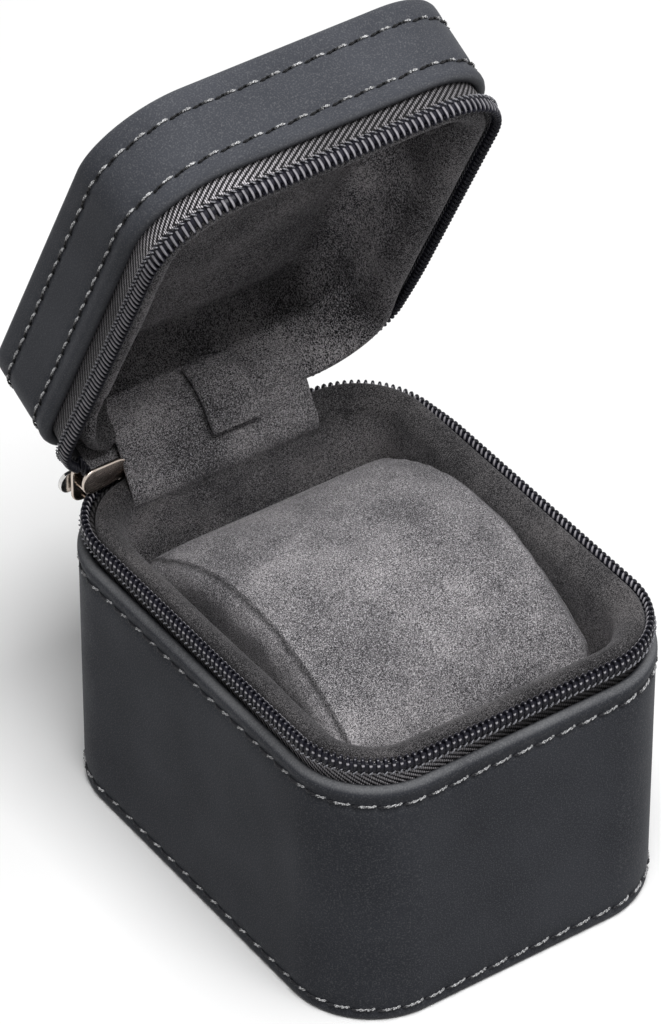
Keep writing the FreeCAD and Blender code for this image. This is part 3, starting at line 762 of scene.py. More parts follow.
def pulledIn(u, level, rows):
    # how far the rows of stitches draw the leather in at a place
    look = bandLook
    hole = 0.5 - 0.5 * math.cos(2 * math.pi * u * stitchRow["count"] / around)
    depth = look["pull"] * (1 - look["pucker"] + look["pucker"] * hole ** 2)
    return sum(math.exp(-((level - row) / look["pullWidth"]) ** 2) * depth for row in rows)


def bandProfile(foot, rim, rows, rubAndHighlight):
    # the band's section: outer face with its swollen rim, turned edge and the hem behind it
    tall = abs(rim - foot)
    way = 1 if rim > foot else -1
    footRound, rimRound, rubbedAndHighlight = 1.4, 2.7, 0.9
    outer = [(1.2, 0.02), (0.75, 0.02), (0.28, 0.22), (0.05, 0.7)]
    outer += [(0.0, rise) for rise in stepsBetween(footRound, tall - rimRound, 39)]
    outer += [(-0.10, tall - 2.2), (-0.20, tall - 1.6), (-0.16, tall - 0.95), (0.08, tall - 0.42),
              (0.50, tall - 0.10), (1.0, tall), (1.5, tall - 0.12), (1.88, tall - 0.5), (2.0, tall - 1.1)]
    back = [(2.0, tall - bandLook["hem"]), (1.2, tall - bandLook["hem"] - 0.02)]

    def profile(u):
        line = [(inset + (pulledIn(u, foot + way * rise, rows) if inset < 0.6 else 0), foot + way * rise)
                for inset, rise in outer]
        return line + [(inset, foot + way * rise) for inset, rise in back]

    # marks the crest and the foot edge paler, partly wear and partly a painted highlight, more on the base than
    # on the lid
    def wear(u, inset, level):
        rise = way * (level - foot)
        edge = max(ease((rise - tall + rubbedAndHighlight) / 0.7), ease((rubbedAndHighlight - rise) / 0.7))
        return rubAndHighlight * edge if inset < 1.3 else 0

    return profile, wear


bands = (
    ("baseLeatherBand", "base", leather, 0.0, case["baseTop"], ("baseRim", "baseFoot"), 0.9),
    ("lidLeatherBand", "lid", lidLeatherPaintedLighter, case["top"], case["lidEdge"], ("lidRim", "lidTop"), 0.25),
)
for name, body, finish, foot, rim, rows, rubAndHighlight in bands:
    profile, wear = bandProfile(foot, rim, [stitchLevels[row] for row in rows], rubAndHighlight)
    band = sweep(name, laps(544), profile, finish, lid=body == "lid", wear=wear)
    settle(band, body, "leather", body + "_side_leather")


def planRing(inset, level, shrink=1.0, count=160):
    ring = [placeAt(u, inset, level) for u in laps(count)]
    return [Vector((point.x * shrink, point.y * shrink, point.z)) for point in ring]


topPanelLook = dict(inset=1.25, crown=0.7, edge=0.35, under=78.7)


def makeTopPanel():
    look = topPanelLook
    inset, edge = look["inset"], look["edge"]
    rings = [planRing(inset, look["under"], shrink) for shrink in (0.05, 0.4, 0.8, 0.985, 1.0)]
    rings.append(planRing(inset, case["top"] - edge))
    for shrink in (0.995, 0.985, 0.97, 0.94, 0.9, 0.82, 0.7, 0.55, 0.4, 0.25, 0.1, 0.03):
        rise = look["crown"] * (1 - shrink ** 4) - edge * ease((shrink - 0.95) / 0.045) * 0.6
        rings.append(planRing(inset, case["top"] + rise, shrink))
    return loft("lidTopPanel", rings, lidLeatherPaintedLighter, True)


settle(makeTopPanel(), "lid", "leather", "lid_top_leather")
print("leather bands made")


# zip: tapes, coils and the sewing on them
looseRow = dict(lidFrom=60.0, lidTo=32.0, lidDepth=0.85, sagAt=30.0, sagReach=10.0, sagFade=14.0, sag=1.2)


def lidTuck(u):
    # the loose end of the lid's row slips up behind the lining
    row = looseRow
    return row["lidDepth"] * ease((u - around + row["lidFrom"]) / (row["lidFrom"] - row["lidTo"]))


def baseSag(u):
    # the base's row hangs a little at the back right corner
    row = looseRow
    return row["sag"] * zone(u, -row["sagAt"], row["sagReach"], row["sagFade"])


def cornerDistance(turn):
    # distance round the plan at an angle of the back left corner, in degrees
    return case["zipEnd"] + case["corner"] * math.radians(turn - 90)


zipFlip = case["zipTop"] + case["lidZip"]
zipMargin = 1.2
zipBack = around - case["zipEnd"]
zipParts = dict(
    base=dict(start=case["zipEnd"] + zipMargin, end=zipBack + 0.6, lead=zipMargin, shift=0.0, tuck=baseSag,
              foot=case["sewnFrom"], tape=baseTapePaintedLighter, tooth=baseTooth, carry=None),
    lid=dict(start=cornerDistance(132), end=zipBack - zipMargin, lead=0.0, shift=0.5, tuck=lidTuck,
             foot=zipFlip - case["sewnTo"], tape=lidTape, tooth=lidTooth,
             carry=lambda point: openLid(Vector((point.x, point.y, zipFlip - point.z)))),
)
tapeSection = ((2.0, 50.0), (1.92, 52.0), (1.9, 53.2), (1.95, 54.4), (2.0, 55.4), (2.8, 55.4), (2.8, 50.0))
zipSewing = (("Outer", 0.48, 54.75, outerSewing), ("Inner", 2.12, 55.55, innerSewingPaintedShade))


def makeZip(part, zipper):
    # the lid's half is drawn as the base's and turned over
    isLid = part == "lid"
    row, tuck, carry = zipRow, zipper["tuck"], zipper["carry"]

    def level(z):
        return zipFlip - z if isLid else z

    def tapeProfile(u):
        return [(inset, level(z)) for inset, z in ((2.0, zipper["foot"]), *tapeSection, (2.8, zipper["foot"]))]

    def cordProfile(u):
        return [(row["middle"] + row["cordWide"] * math.cos(turn),
                 level(row["cordLevel"] - tuck(u) + row["cordTall"] * math.sin(turn))) for turn in turns(8)]

    line = stepsBetween(zipper["start"] - zipper["lead"], zipper["end"] + zipMargin, 320)
    weave = sweep(part + "ZipTape", line, tapeProfile, zipper["tape"], False, isLid)
    settle(weave, part, "zip_tape", part + "_zip_tape")
    pitch, shift = row["pitch"], zipper["shift"]
    first = math.ceil(zipper["start"] / pitch - shift)
    last = math.floor(zipper["end"] / pitch - shift)
    teeth = last - first + 1
    path = stepsBetween((first + shift) * pitch, (last + shift) * pitch, 4 * (teeth - 1))
    foot = [placeAt(u, row["middle"], row["foot"] - tuck(u)) for u in path]
    coil = makeRow(part + "ZipCoil", foot, False, zipper["tooth"], teeth, coilNylon, seed=3, carry=carry,
                   mirrored=isLid)
    settle(coil, part, "zip_coil", part + "_zip_coil", part + "_top_stop")
    cord = sweep(part + "ZipCord", line[2:-2], cordProfile, coilNylon, False, isLid)
    settle(cord, part, "zip_coil")
    for side, inset, height, thread in zipSewing:
        points = [placeAt(u, inset, height - tuck(u)) for u in path]
        sewing = makeRow(part + "ZipSewing" + side, points, False, loopShape, teeth, thread, 0.1, 0.25, 21,
                         carry, isLid)
        settle(sewing, part, "thread")


for part, zipper in zipParts.items():
    makeZip(part, zipper)
print("zip made")


# padded linings
def soften(u, inset, point):
    # small rises and hollows of hand-laid suede
    return edgeAt(u)[1] * -0.3 * noise.noise(point / 9.0) if inset > 3.3 else Vector()


# each zone gives its middle round the plan, its reach to both sides and how far it fades
rimLook = dict(
    soft=[(2.9, 54.4), (2.95, 55.6), (3.4, 56.3), (4.4, 56.5), (5.5, 56.0), (6.6, 55.0), (7.3, 53.3),
          (7.6, 51.0)],
    stepped=[(2.9, 54.2), (2.95, 55.5), (3.4, 56.2), (4.4, 56.5), (5.5, 56.1), (6.6, 55.1), (7.3, 53.5),
             (7.6, 51.2)],
    lidSoft=[(2.9, 60.4), (2.95, 59.1), (3.4, 58.4), (4.4, 58.15), (5.4, 58.6), (6.4, 59.6), (7.15, 61.3),
             (7.4, 63.6)],
    lidStepped=[(3.0, 62.3), (4.7, 62.15), (5.25, 61.9), (5.35, 61.0), (5.7, 60.15), (6.4, 59.85), (7.1, 60.4),
                (7.4, 62.0)],
    steppedZone=(28.0, 23.0, 9.0),
    hugZone=(-66.0, 46.0, 12.0),
    droopZone=(-28.0, 12.0, 14.0),
    lipZone=(35.0, 8.0, 6.0),
)


def rimLine(u, softLine, steppedLine, hug=0.0, droop=0.0, lip=0.0):
    # the rim is set back along the hinge and round the slider's corner, hug draws it up to the coil along
    # the right side, droop moves it at the back right corner, and lip moves its inner edge at the slider
    look = rimLook
    share = zone(u, *look["steppedZone"])
    corners = [tuple(a * (1 - share) + b * share for a, b in zip(p, q))
               for p, q in zip(look[softLine], look[steppedLine])]
    near = hug * zone(u, *look["hugZone"])
    rise = 0.45 * near + droop * zone(u, *look["droopZone"])
    corners = [(inset - 0.8 * near, level + rise) for inset, level in corners[:5]] + corners[5:]
    edge = lip * zone(u, *look["lipZone"])
    corners = corners[:3] + [(inset, level + edge) for inset, level in corners[3:7]] + corners[7:]
    return smoothLine(corners, 3)


liningBack = case["liningBack"]


def baseWallProfile(u):
    floor = 4.8
    wall = [(7.6, level) for level in stepsBetween(51.0, floor, 14)[1:]]
    return rimLine(u, "soft", "stepped", 1.0, -0.1) + wall + [(liningBack, floor), (liningBack, 30.0)]


def basePaintedShading(u, inset, level):
    # painted shade and light: the suede is painted darker on the rim and paler down the wall
    return 0.5 - 0.95 * ease((level - 49.0) / 6.0)


baseWall = sweep("baseWallPadding", laps(300), baseWallProfile, suede, wear=basePaintedShading, ripple=soften)
settle(baseWall, "base", "suede", "base_wall_foam", "base_wall_lining")

padLook = dict(under=3.22, edgeLow=3.3, edgeHigh=4.2, top=4.68)


def makeFloorPad():
    look = padLook
    levels = [(look["under"], shrink) for shrink in (0.05, 0.5, 0.97)]
    levels += [(look["edgeLow"], 1.0), (look["edgeHigh"], 1.0)]
    levels += [(look["top"], shrink) for shrink in (0.985, 0.95, 0.85, 0.7, 0.5, 0.3, 0.1)]
    return loft("baseFloorPad", [planRing(liningBack, level, shrink, 120) for level, shrink in levels], suede)


floorPad = makeFloorPad()
settle(floorPad, "base", "suede", "base_floor_pad")

# shares of painted shade and light on the lid's lining
lidShadingLook = dict(backPaintedLight=0.6, sliderPaintedShade=0.5, rightPaintedLight=1.2, upperPaintedShade=0.3, ceilingPaintedLight=0.1, frontPaintedShade=0.1,
              stepLevel=66.3, wallEnd=11.5)


def lidPaintedShading(point):
    # painted shade and light: the suede is painted darker on the upper back wall and at the slider's corner,
    # and paler on the right
    look = lidShadingLook
    x, away = point.x, case["hingeY"] - point.y
    back = look["backPaintedLight"] * ease((x - 2.0) / 14.0) - look["sliderPaintedShade"] * ease((-10.0 - x) / 8.0)
    right = ease((x - 22.0) / 5.0) * ease((point.z - 61.0) / 4.0) * (1 - ease((away - 50.0) / 10.0))
    ceiling = ease((away - look["wallEnd"]) / 3.0)
    upper = ease((point.z - look["stepLevel"]) / 1.6)
    wall = back * (1 - upper) - look["upperPaintedShade"] * upper
    front = ease((away - 36.0) / 12.0)
    return (look["rightPaintedLight"] * right + wall * (1 - ceiling) + look["ceilingPaintedLight"] * ceiling
            - look["frontPaintedShade"] * front)


lidLook = dict(back=76.5, side=66.0, dome=0.9, ripple=1.1, rippleSize=14.0)


def makeLidLining():
    # rim, wall and ceiling of the lid as one soft tray
    look = lidLook
    count = 300
    lines = []
    for u in laps(count):
        rim = rimLine(u, "lidSoft", "lidStepped", 0.0, -1.0, -1.4)
        bend = [rim[-1], (7.42, 66.0), (7.6, 69.4), (8.9, 71.9), (11.4, 73.2), (13.0, 73.5)]
        points = [(inset, placeAt(u, inset, level)) for inset, level in rim + smoothLine(bend, 4)[1:]]
        lines.append([point + soften(u, inset, point) for inset, point in points])
    rings = [planRing(liningBack, look["back"], shrink, count) for shrink in (0.05, 0.5, 0.9, 1.0)]
    rings.append(planRing(liningBack, look["side"], 1.0, count))
    rings += [list(ring) for ring in zip(*lines)]
    last = rings[-1]
    for shrink in (0.93, 0.85, 0.75, 0.64, 0.52, 0.4, 0.28, 0.16, 0.05):
        ring = []
        for point in last:
            x, y = point.x * shrink, point.y * shrink
            ripple = look["ripple"] * noise.noise(Vector((x, y, 5)) / look["rippleSize"])
            ring.append(Vector((x, y, point.z - look["dome"] * (1 - shrink ** 2) + ripple)))
        rings.append(ring)
    return loft("lidLining", rings, lidSuedePaintedShading, True, lidPaintedShading)


lidLining = makeLidLining()
settle(lidLining, "lid", "suede", "lid_ceiling_foam", "lid_ceiling_lining", "lid_wall_foam", "lid_wall_lining")
print("linings laid")


# cushion
cushionLook = dict(
    half=25.5,
    front=-33.0,
    back=32.0,
    foot=4.7,
    footRound=8.0,
    belly=28.0,
    waist=42.0,
    shoulder=52.0,
    shoulderIn=4.5,
    crown=61.5,
    slack=0.6,
    voxel=1.7,
    pressure=4.0,
    swellLimit=0.9,
)


def cushionOutline(inward):
    look = cushionLook
    front, back = look["front"] + inward, look["back"] - inward
    foot, crown = look["foot"], look["crown"] - inward
    shoulder, middle = look["shoulder"] - inward, (look["front"] + look["back"]) / 2
    corner = look["footRound"]
    # each side as steps inward and levels, from the foot up
    side = [(corner, foot), (2.4, foot + 2.4), (0.0, foot + corner), (0.0, look["belly"]), (0.0, look["waist"]),
            (1.0, look["waist"] + 6.0), (look["shoulderIn"], shoulder)]
    line = [(front + corner, foot), (0.0, foot)] + [(back - step, level) for step, level in side]
    reach = back - look["shoulderIn"] - middle
    for step in range(1, 8):
        turn = step / 8 * 2 - 1
        line.append((middle - reach * turn, shoulder + (crown - shoulder) * (1 - turn * turn)))
    line += [(front + step, level) for step, level in side[::-1]]
    return smoothLine(line, 5)[:-1]


def makeCushion():
    look = cushionLook
    half = look["half"] - look["slack"]
    end = [(half, 3.0), (half, 1.2), (half - 0.4, 0.45), (half - 1.3, 0.05), (12.0, 0.0)]
    cuts = [(-place, inward) for place, inward in end] + [(0.0, 0.0)] + end[::-1]
    rings = [[Vector((place, y, z)) for y, z in cushionOutline(inward + look["slack"] * 0.6)]
             for place, inward in cuts]
    piece = loft("cushion", rings, cushionSuede)
    remesh = piece.modifiers.new("even", "REMESH")
    remesh.mode = "VOXEL"
    remesh.voxel_size = look["voxel"] * mm
    mesh = plainMesh(piece)
    piece.modifiers.clear()
    piece.data = mesh
    swell(piece)
    for corner in mesh.vertices:
        corner.co.z = max(corner.co.z, look["foot"] * mm)
        corner.co.x = min(max(corner.co.x, -look["half"] * mm), look["half"] * mm)
    rounder = piece.modifiers.new("smooth", "SUBSURF")
    rounder.levels = rounder.render_levels = 1
    piece.data = plainMesh(piece)
    piece.modifiers.clear()
    piece.data.materials.clear()
    piece.data.materials.append(cushionSuede)
    piece.data.polygons.foreach_set("use_smooth", [True] * len(piece.data.polygons))
    return piece


def swell(piece):
    # blows the cover up with a cloth run at ten times the size, then keeps each point near its start
    look = cushionLook
    grow = 10.0
    piece.data.transform(Matrix.Scale(grow, 4))
    start = [corner.co.copy() for corner in piece.data.vertices]
    cloth = piece.modifiers.new("puff", "CLOTH")
    cloth.settings.use_pressure = True
    cloth.settings.uniform_pressure_force = look["pressure"]
    cloth.settings.effector_weights.gravity = 0.0
    for step in range(1, 21):
        scene.frame_set(step)
    ready = piece.evaluated_get(bpy.context.evaluated_depsgraph_get())
    moved = [corner.co.copy() for corner in ready.data.vertices]
    piece.modifiers.clear()
    scene.frame_set(1)
    limit = look["swellLimit"] * mm * grow
    for corner, before, after in zip(piece.data.vertices, start, moved):
        move = after - before
        if move.length > limit:
            move *= limit / move.length
        corner.co = before + move
    piece.data.transform(Matrix.Scale(1 / grow, 4))


cushion = makeCushion()
settle(cushion, "cushion", "suede", "cushion_core", "cushion_wrap", "cushion_end_left", "cushion_end_right")
print("cushion filled")


# soft hinge
def bentStrip(name, line, thick, left, right, finish, crease):
    # a strip across the hinge, on a line of points seen from the side
    line = [Vector((0, y, z)) for y, z in line]
    sides = []
    for number in range(len(line)):
        way = (line[min(number + 1, len(line) - 1)] - line[max(number - 1, 0)]).normalized()
        sides.append(Vector((0, -way.z, way.y)))
    shape = bmesh.new()
    cloth = shape.loops.layers.uv.new("cloth")
    slices = []
    across = max(10, round((right - left) / 0.8))
    for cut, x in enumerate(stepsBetween(left, right, across)):
        end = cut in (0, across)
        near, far = [], []
        for point, side in zip(line, sides):
            lift = 0 if end else crease * noise.noise(Vector((x / 6, point.y / 2.5, point.z / 2.5)))
            low, high = (0.22 * thick, 0.78 * thick) if end else (0, thick + lift)
            near.append(shape.verts.new(Vector((x, 0, 0)) + point + side * low))
            far.append(shape.verts.new(Vector((x, 0, 0)) + point + side * high))
        slices.append(near + far[::-1])
    skin(shape, slices)
    for face in shape.faces:
        for loop in face.loops:
            loop[cloth].uv = (loop.vert.co.x, loop.vert.co.z)
    return makePiece(name, shape, finish)


def onLid(y, z):
    point = openLid(Vector((0, y, z)))
    return point.y, point.z


hingeLook = dict(
    left=-18.6,
    right=16.8,
    suedeLeft=-21.2,
    leatherInset=2.0,
    leatherThick=0.8,
    suedeThick=0.8,
    tabLeft=-4.3,
    tabRight=5.8,
    tabThick=1.0,
)
stripY = case["depth"] / 2 - hingeLook["leatherInset"]
radius = case["hingeY"] - stripY
bend = [(case["hingeY"] - radius * math.cos(turn), case["hingeZ"] + radius * math.sin(turn))
        for turn in stepsBetween(0, math.radians(case["openAngle"]), 8)]
leatherLine = [(stripY, z) for z in stepsBetween(case["sewnFrom"], case["hingeZ"], 16)[:-1]] + bend
leatherLine += [onLid(stripY, z) for z in stepsBetween(case["hingeZ"], case["sewnTo"], 14)[1:]]

# the suede runs up from the back wall, over the rim and into the lid
suedeLine = smoothLine([(39.6, 45.5), (39.5, 49.0), (39.05, 51.6), (38.35, 53.6), (38.5, 55.3), (39.95, 57.7),
                        (41.5, 60.6), (43.1, 63.4), (45.0, 65.1), onLid(38.45, 63.2), onLid(38.6, 65.2),
                        onLid(38.65, 67.0)], 5)
tabLine = smoothLine([(38.9, 60.3), (40.15, 62.0), (41.3, 63.4), (43.15, 65.7), (45.6, 67.2), (48.0, 68.1)], 5)
suedeBend = (38.75, 54.0), (44.3, 64.4)
hingeStrips = (
    ("hingeLeather", "hinge_leather", "leather", leather, leatherLine, (bend[0], bend[-1]), 0.06,
     ("left", "right", "leatherThick")),
    ("hingeLining", "hinge_lining", "suede", hingeSuedePaintedLight, suedeLine, suedeBend, 0.2,
     ("suedeLeft", "right", "suedeThick")),
    ("hingeTab", "hinge_tab", "suede", hingeSuedePaintedLight, tabLine, suedeBend, 0.12,
     ("tabLeft", "tabRight", "tabThick")),
)
for name, node, slot, finish, line, ends, crease, sizes in hingeStrips:
    left, right, thick = (hingeLook[size] for size in sizes)
    strip = bentStrip(name, line, thick, left, right, finish, crease)
    length = sum(math.dist(a, b) for a, b in zip(line, line[1:]))
    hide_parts(node)
    Vector((0, *ends[0])) * mm
    Vector((0, *ends[1])) * mm
    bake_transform(strip)

# the lid's tape and chain bend down into the slider, where the zip begins
zipStart = dict(
    first=91.0,
    last=134.0,
    leave=116.0,
    mouth=(-28.2, 41.3, 58.6),
    chain=(-29.7, 43.7, 61.5),
    inset=2.0,
    thick=0.7,
    top=65.0,
    pull=2.2,
    tapeLevels=(59.4, 59.2),
    chainLevels=(57.2, 57.9),
    weaveTop=11.4,
    weaveStep=0.6,
)


def lidShare(turn):
    return ease((turn - zipStart["leave"]) / (zipStart["last"] - zipStart["leave"]))


def bendDown(turn, inset, levels):
    # from its level on the base to its level on the lid
    u = cornerDistance(turn)
    return placeAt(u, inset, levels[0]).lerp(openLid(placeAt(u, inset, levels[1])), lidShare(turn))


def makeTapeEnd():
    look = zipStart
    cuts = 10
    shape = bmesh.new()
    cloth = shape.loops.layers.uv.new("cloth")
    lidPull = (openLid(Vector((0, 0, 1))) - openLid(Vector((0, 0, 0)))) * look["pull"]
    columns = []
    for turn in stepsBetween(look["first"], look["last"], 24):
        u = cornerDistance(turn)
        sides = []
        for inset in (look["inset"], look["inset"] + look["thick"]):
            low = bendDown(turn, inset, look["tapeLevels"])
            high = openLid(placeAt(u, inset, look["top"]))
            nearLow = low + Vector((0, 0, look["pull"])).lerp(lidPull, lidShare(turn))
            nearHigh = high - lidPull
            sides.append([low * (1 - t) ** 3 + nearLow * 3 * t * (1 - t) ** 2 + nearHigh * 3 * t * t * (1 - t)
                          + high * t ** 3 for t in stepsBetween(0, 1, cuts)])
        columns.append((u, [shape.verts.new(point) for point in sides[0] + sides[1][::-1]]))
    for (nearU, near), (farU, far) in zip(columns, columns[1:]):
        for spot in range(len(near)):
            beyond = (spot + 1) % len(near)
            face = shape.faces.new((near[spot], near[beyond], far[beyond], far[spot]))
            places = (nearU, spot), (nearU, spot + 1), (farU, spot + 1), (farU, spot)
            for loop, (u, row) in zip(face.loops, places):
                loop[cloth].uv = (u, look["weaveTop"] - look["weaveStep"] * min(row, 2 * cuts + 1 - row))
            face.material_index = 1 if spot >= cuts else 0
    shape.faces.new(columns[0][1])
    shape.faces.new(columns[-1][1][::-1])
    piece = makePiece("lidTapeEnd", shape, lidTape)
    piece.data.materials.append(hingeSuedePaintedLight)
    return piece


tapeEnd = makeTapeEnd()
chainLine = [bendDown(turn, zipRow["middle"], zipStart["chainLevels"])
             for turn in stepsBetween(zipStart["leave"], zipStart["last"] - 2.5, 20)]
chainEnd = makeRow("lidChainEnd", chainLine, False, lidTooth, 5, coilNylon, seed=3)
for piece in (tapeEnd, chainEnd):
    Vector(zipStart["mouth"]) * mm
    Vector(zipStart["chain"]) * mm
    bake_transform(piece)
for shape in (stitchShape, baseTooth, lidTooth, loopShape):
    bpy.data.objects.remove(shape)
print("hinge made")


# slider and puller, drawn lying flat with the length along X and the corner's radius along Z
sliderLook = dict(
    angle=110.0,
    level=57.3,
    toe=-16.0,
    pin=(-24.2165, 45.9213, 0.0),
    plate=0.8,
    post=(-3.6, -1.6),
    postHalf=0.2,
    rail=(-2.1, 1.2),
    railThick=0.7,
    railInset=0.25,
)
outerPlate = dict(length=9.0, mouth=8.4, tail=7.2, corner=2.4, face=15.9, raised=0.0)
innerPlate = dict(length=9.8, mouth=5.4, tail=4.0, corner=2.6, face=13.0, raised=2.4)


def turned(angle, axis):
    return Matrix.Rotation(math.radians(angle), 4, axis)


pinAt = Vector(sliderLook["pin"])
toCorner = (Matrix.Translation(pinAt) @ turned(sliderLook["toe"], "Z") @ Matrix.Translation(-pinAt)
            @ Matrix.Translation((-straightX, straightY, sliderLook["level"]))
            @ turned(sliderLook["angle"] - 90, "Z") @ turned(-90, "X"))


def plateRing(plate, inset, level, shrink=1.0, dome=0.0):
    # the plate's outline, wide at the mouth and narrow at the tail
    ring = []
    radius = plate["corner"] - inset
    share = plate["tail"] / plate["mouth"]
    for number, (sx, sy) in enumerate(((1, 1), (-1, 1), (-1, -1), (1, -1))):
        for turn in stepsBetween(math.pi / 2 * number, math.pi / 2 * (number + 1), 6):
            x = sx * (plate["length"] / 2 - plate["corner"]) + radius * math.cos(turn)
            taper = 1 + (share - 1) * (x / plate["length"] + 0.5)
            y = (sy * (plate["mouth"] / 2 - plate["corner"]) + radius * math.sin(turn)) * taper
            rise = dome * (1 - shrink * shrink)
            ring.append(Vector((x * shrink, y * shrink - plate["raised"], level + rise)))
    return ring


def roundPlate(shape, plate, low, high, domeLow, domeHigh):
    # a plate with rolled edges and a soft dome on its face
    flat = (0.1, 0.35, 0.6, 0.85, 1.0)
    rolled = ((0.18, 0.06), (0.0, 0.28))
    rings = [plateRing(plate, 0.5, low, shrink, -domeLow) for shrink in flat]
    rings += [plateRing(plate, inset, low + rise) for inset, rise in rolled]
    rings += [plateRing(plate, inset, high - rise) for inset, rise in rolled[::-1]]
    rings += [plateRing(plate, 0.5, high, shrink, domeHigh) for shrink in flat[::-1]]
    skin(shape, [[shape.verts.new(point) for point in ring] for ring in rings])


def block(shape, low, high, bevel):
    corners = bmesh.ops.create_cube(shape, size=1.0)["verts"]
    middle = (Vector(low) + Vector(high)) / 2
    reach = Vector(high) - Vector(low)
    for corner in corners:
        corner.co = corner.co * reach + middle
    edges = list({edge for corner in corners for edge in corner.link_edges})
    bmesh.ops.bevel(shape, geom=edges, offset=bevel, segments=3, affect="EDGES", profile=0.6)


def makeMetalPiece(name, build, finish, body, node):
    shape = bmesh.new()
    build(shape)
    bmesh.ops.transform(shape, matrix=toCorner, verts=shape.verts)
    settle(makePiece(name, shape, finish), body, "slider_metal", node)


def buildSlider(shape):
    look = sliderLook
    thick, outer, inner = look["plate"], outerPlate["face"], innerPlate["face"]
    roundPlate(shape, outerPlate, outer, outer + thick, 0.0, 0.12)
    roundPlate(shape, innerPlate, inner - thick, inner, 0.3, 0.0)
    half = look["postHalf"]
    block(shape, (look["post"][0], -half, inner - 0.2), (look["post"][1], half, outer + 0.2), 0.08)
    edge = outerPlate["mouth"] / 2 - look["railInset"]
    for low in (-edge, edge - look["railThick"]):
        block(shape, (look["rail"][0], low, outer - 1.0),
              (look["rail"][1], low + look["railThick"], outer + 0.4), 0.2)


archLook = dict(wide=0.68, thick=0.38, crown=1.92, side=[(2.55, -0.1), (2.55, 0.7), (2.35, 1.5), (1.7, 1.88)])


def buildArch(shape):
    look = archLook
    level = outerPlate["face"] + sliderLook["plate"]
    line = [(-x, z) for x, z in look["side"]] + [(0.0, look["crown"])] + look["side"][::-1]
    points = [Vector((x, 0, level + z)) for x, z in line]
    rings = []
    for number, point in enumerate(points):
        before, after = points[max(number - 1, 0)], points[min(number + 1, len(points) - 1)]
        out = (after - before).normalized().cross(Vector((0, 1, 0))).normalized()
        rings.append([shape.verts.new(point + out * look["thick"] * math.sin(turn)
                                      + Vector((0, look["wide"] * math.cos(turn), 0)))
                      for turn in turns(10, 0.5)])
    skin(shape, rings)


pullerLook = dict(pinX=0.8, length=7.0, width=4.0, thick=0.9, lift=0.75, heel=0.1, forkGap=2.2, forkLength=4.1,
                  forkRound=0.5, bevel=0.2, pin=0.5)


def buildPuller(shape):
    look = pullerLook
    level = outerPlate["face"] + sliderLook["plate"] + look["lift"]
    half, slot, curve = look["width"] / 2, look["forkGap"] / 2, look["forkRound"]
    heel = look["pinX"] + look["heel"]
    tip = look["pinX"] - look["length"] + half
    fork = look["pinX"] - look["forkLength"]
    outline = [(heel, half), (tip, half)]
    outline += [(tip - half * math.sin(turn), half * math.cos(turn))
                for turn in stepsBetween(0, math.pi, 12)[1:-1]]
    outline += [(tip, -half), (heel, -half), (heel, -slot), (fork + curve, -slot), (fork, -slot + curve),
                (fork, slot - curve), (fork + curve, slot), (heel, slot)]
    face = shape.faces.new([shape.verts.new((x, y, level - look["thick"] / 2)) for x, y in outline])
    grown = bmesh.ops.extrude_face_region(shape, geom=[face])["geom"]
    upper = [corner for corner in grown if isinstance(corner, bmesh.types.BMVert)]
    bmesh.ops.translate(shape, vec=(0, 0, look["thick"]), verts=upper)
    rims = [edge for edge in shape.edges if abs(edge.verts[0].co.z - edge.verts[1].co.z) < 1e-6]
    bmesh.ops.bevel(shape, geom=rims, offset=look["bevel"], segments=3, affect="EDGES", profile=0.5)
    pin = [Vector((look["pinX"], y, level)) for y in (-half + 0.05, -0.6, 0.6, half - 0.05)]
    tube(shape, pin, [look["pin"]] * 4, 12, False)


makeMetalPiece("sliderBody", buildSlider, nickel, "slider", "zip_slider")
makeMetalPiece("sliderArch", buildArch, chrome, "slider", "slider_arch")
makeMetalPiece("pullTab", buildPuller, chrome, "puller", "zip_puller")
print("slider made")

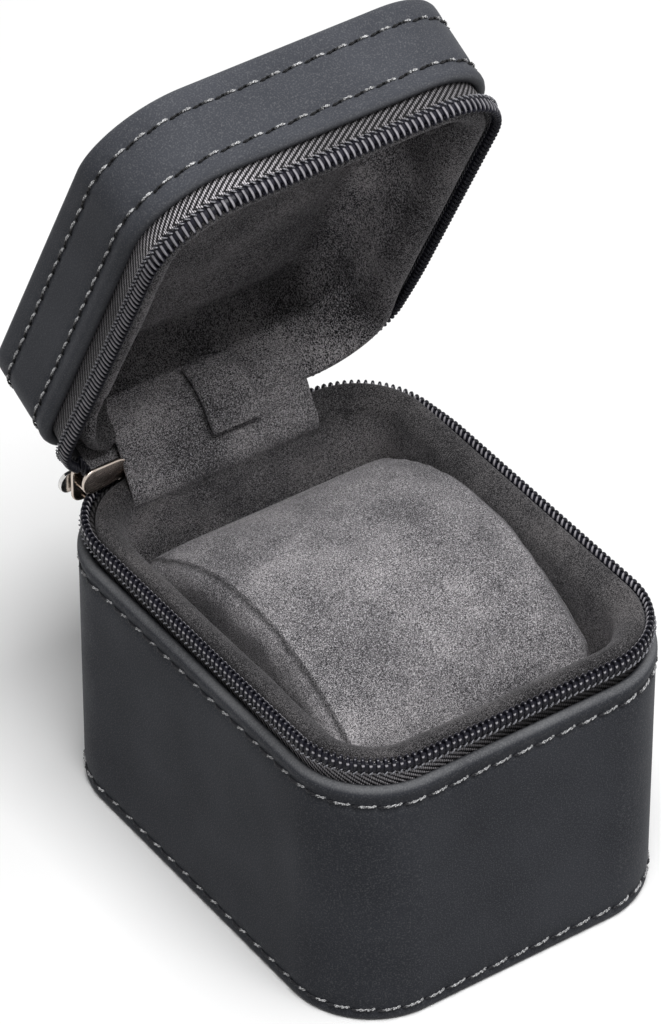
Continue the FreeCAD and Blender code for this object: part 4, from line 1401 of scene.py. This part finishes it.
# carried-over nodes
for node, finish in (("base_bottom_leather", leather), ("base_core", board), ("lid_core", board),
                     ("zip_bottom_stop", nickel)):
    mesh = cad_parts[node].data
    mesh.materials.clear()
    mesh.materials.append(finish)

# floor, light and camera
studio = dict(floor=(0.96, 0.96, 0.96), floorBounce=(0.30, 0.30, 0.30), skyLight=0.20, key=24.5, fill=1.5,
              aim=(0, 0, 0.06))
floorShape = bmesh.new()
bmesh.ops.create_grid(floorShape, x_segments=1, y_segments=1, size=4000)
floorFinish = Finish("paleFloor", Roughness=0.9, Specular_IOR_Level=0.0)
floorFinish.feed(Base_Color=floorFinish.mix(floorFinish.seen(), studio["floorBounce"], studio["floor"]))
makePiece("floor", floorShape, floorFinish.owner)

scene.world = bpy.data.worlds.new("studio")
sky = Finish("sky", scene.world, "World", "Background", Color=(1, 1, 1, 1))
sky.feed(Strength=sky.grey(sky.seen(), studio["skyLight"], 1.0))


def softBox(name, place, reach, power):
    lamp = bpy.data.lights.new(name, "AREA")
    lamp.shape = "RECTANGLE"
    lamp.size, lamp.size_y = reach
    lamp.energy = power
    holder = bpy.data.objects.new(name, lamp)
    holder.location = place
    holder.rotation_euler = (Vector(place) - Vector(studio["aim"])).to_track_quat("Z", "Y").to_euler()
    scene.collection.objects.link(holder)


softBox("keyBox", (-0.06, -0.43, 1.46), (0.9, 0.9), studio["key"])
softBox("sideBox", (0.95, 0.1, 0.75), (0.5, 0.8), studio["fill"])

shot = dict(azimuth=-34.836, elevation=39.638, distance=1.140853, target=(0.004494, 0.016503, 0.054442),
            lens=237.77)
lens = bpy.data.cameras.new("photoCamera")
lens.lens = shot["lens"]
lens.sensor_width = 36.0
lens.clip_end = 20.0
camera = bpy.data.objects.new("photoCamera", lens)
tilt, turn = math.radians(shot["elevation"]), math.radians(shot["azimuth"])
away = Vector((math.sin(turn) * math.cos(tilt), -math.cos(turn) * math.cos(tilt), math.sin(tilt)))
camera.location = Vector(shot["target"]) + away * shot["distance"]
camera.rotation_euler = away.to_track_quat("Z", "Y").to_euler()
scene.collection.objects.link(camera)
scene.camera = camera

print("scene ready")
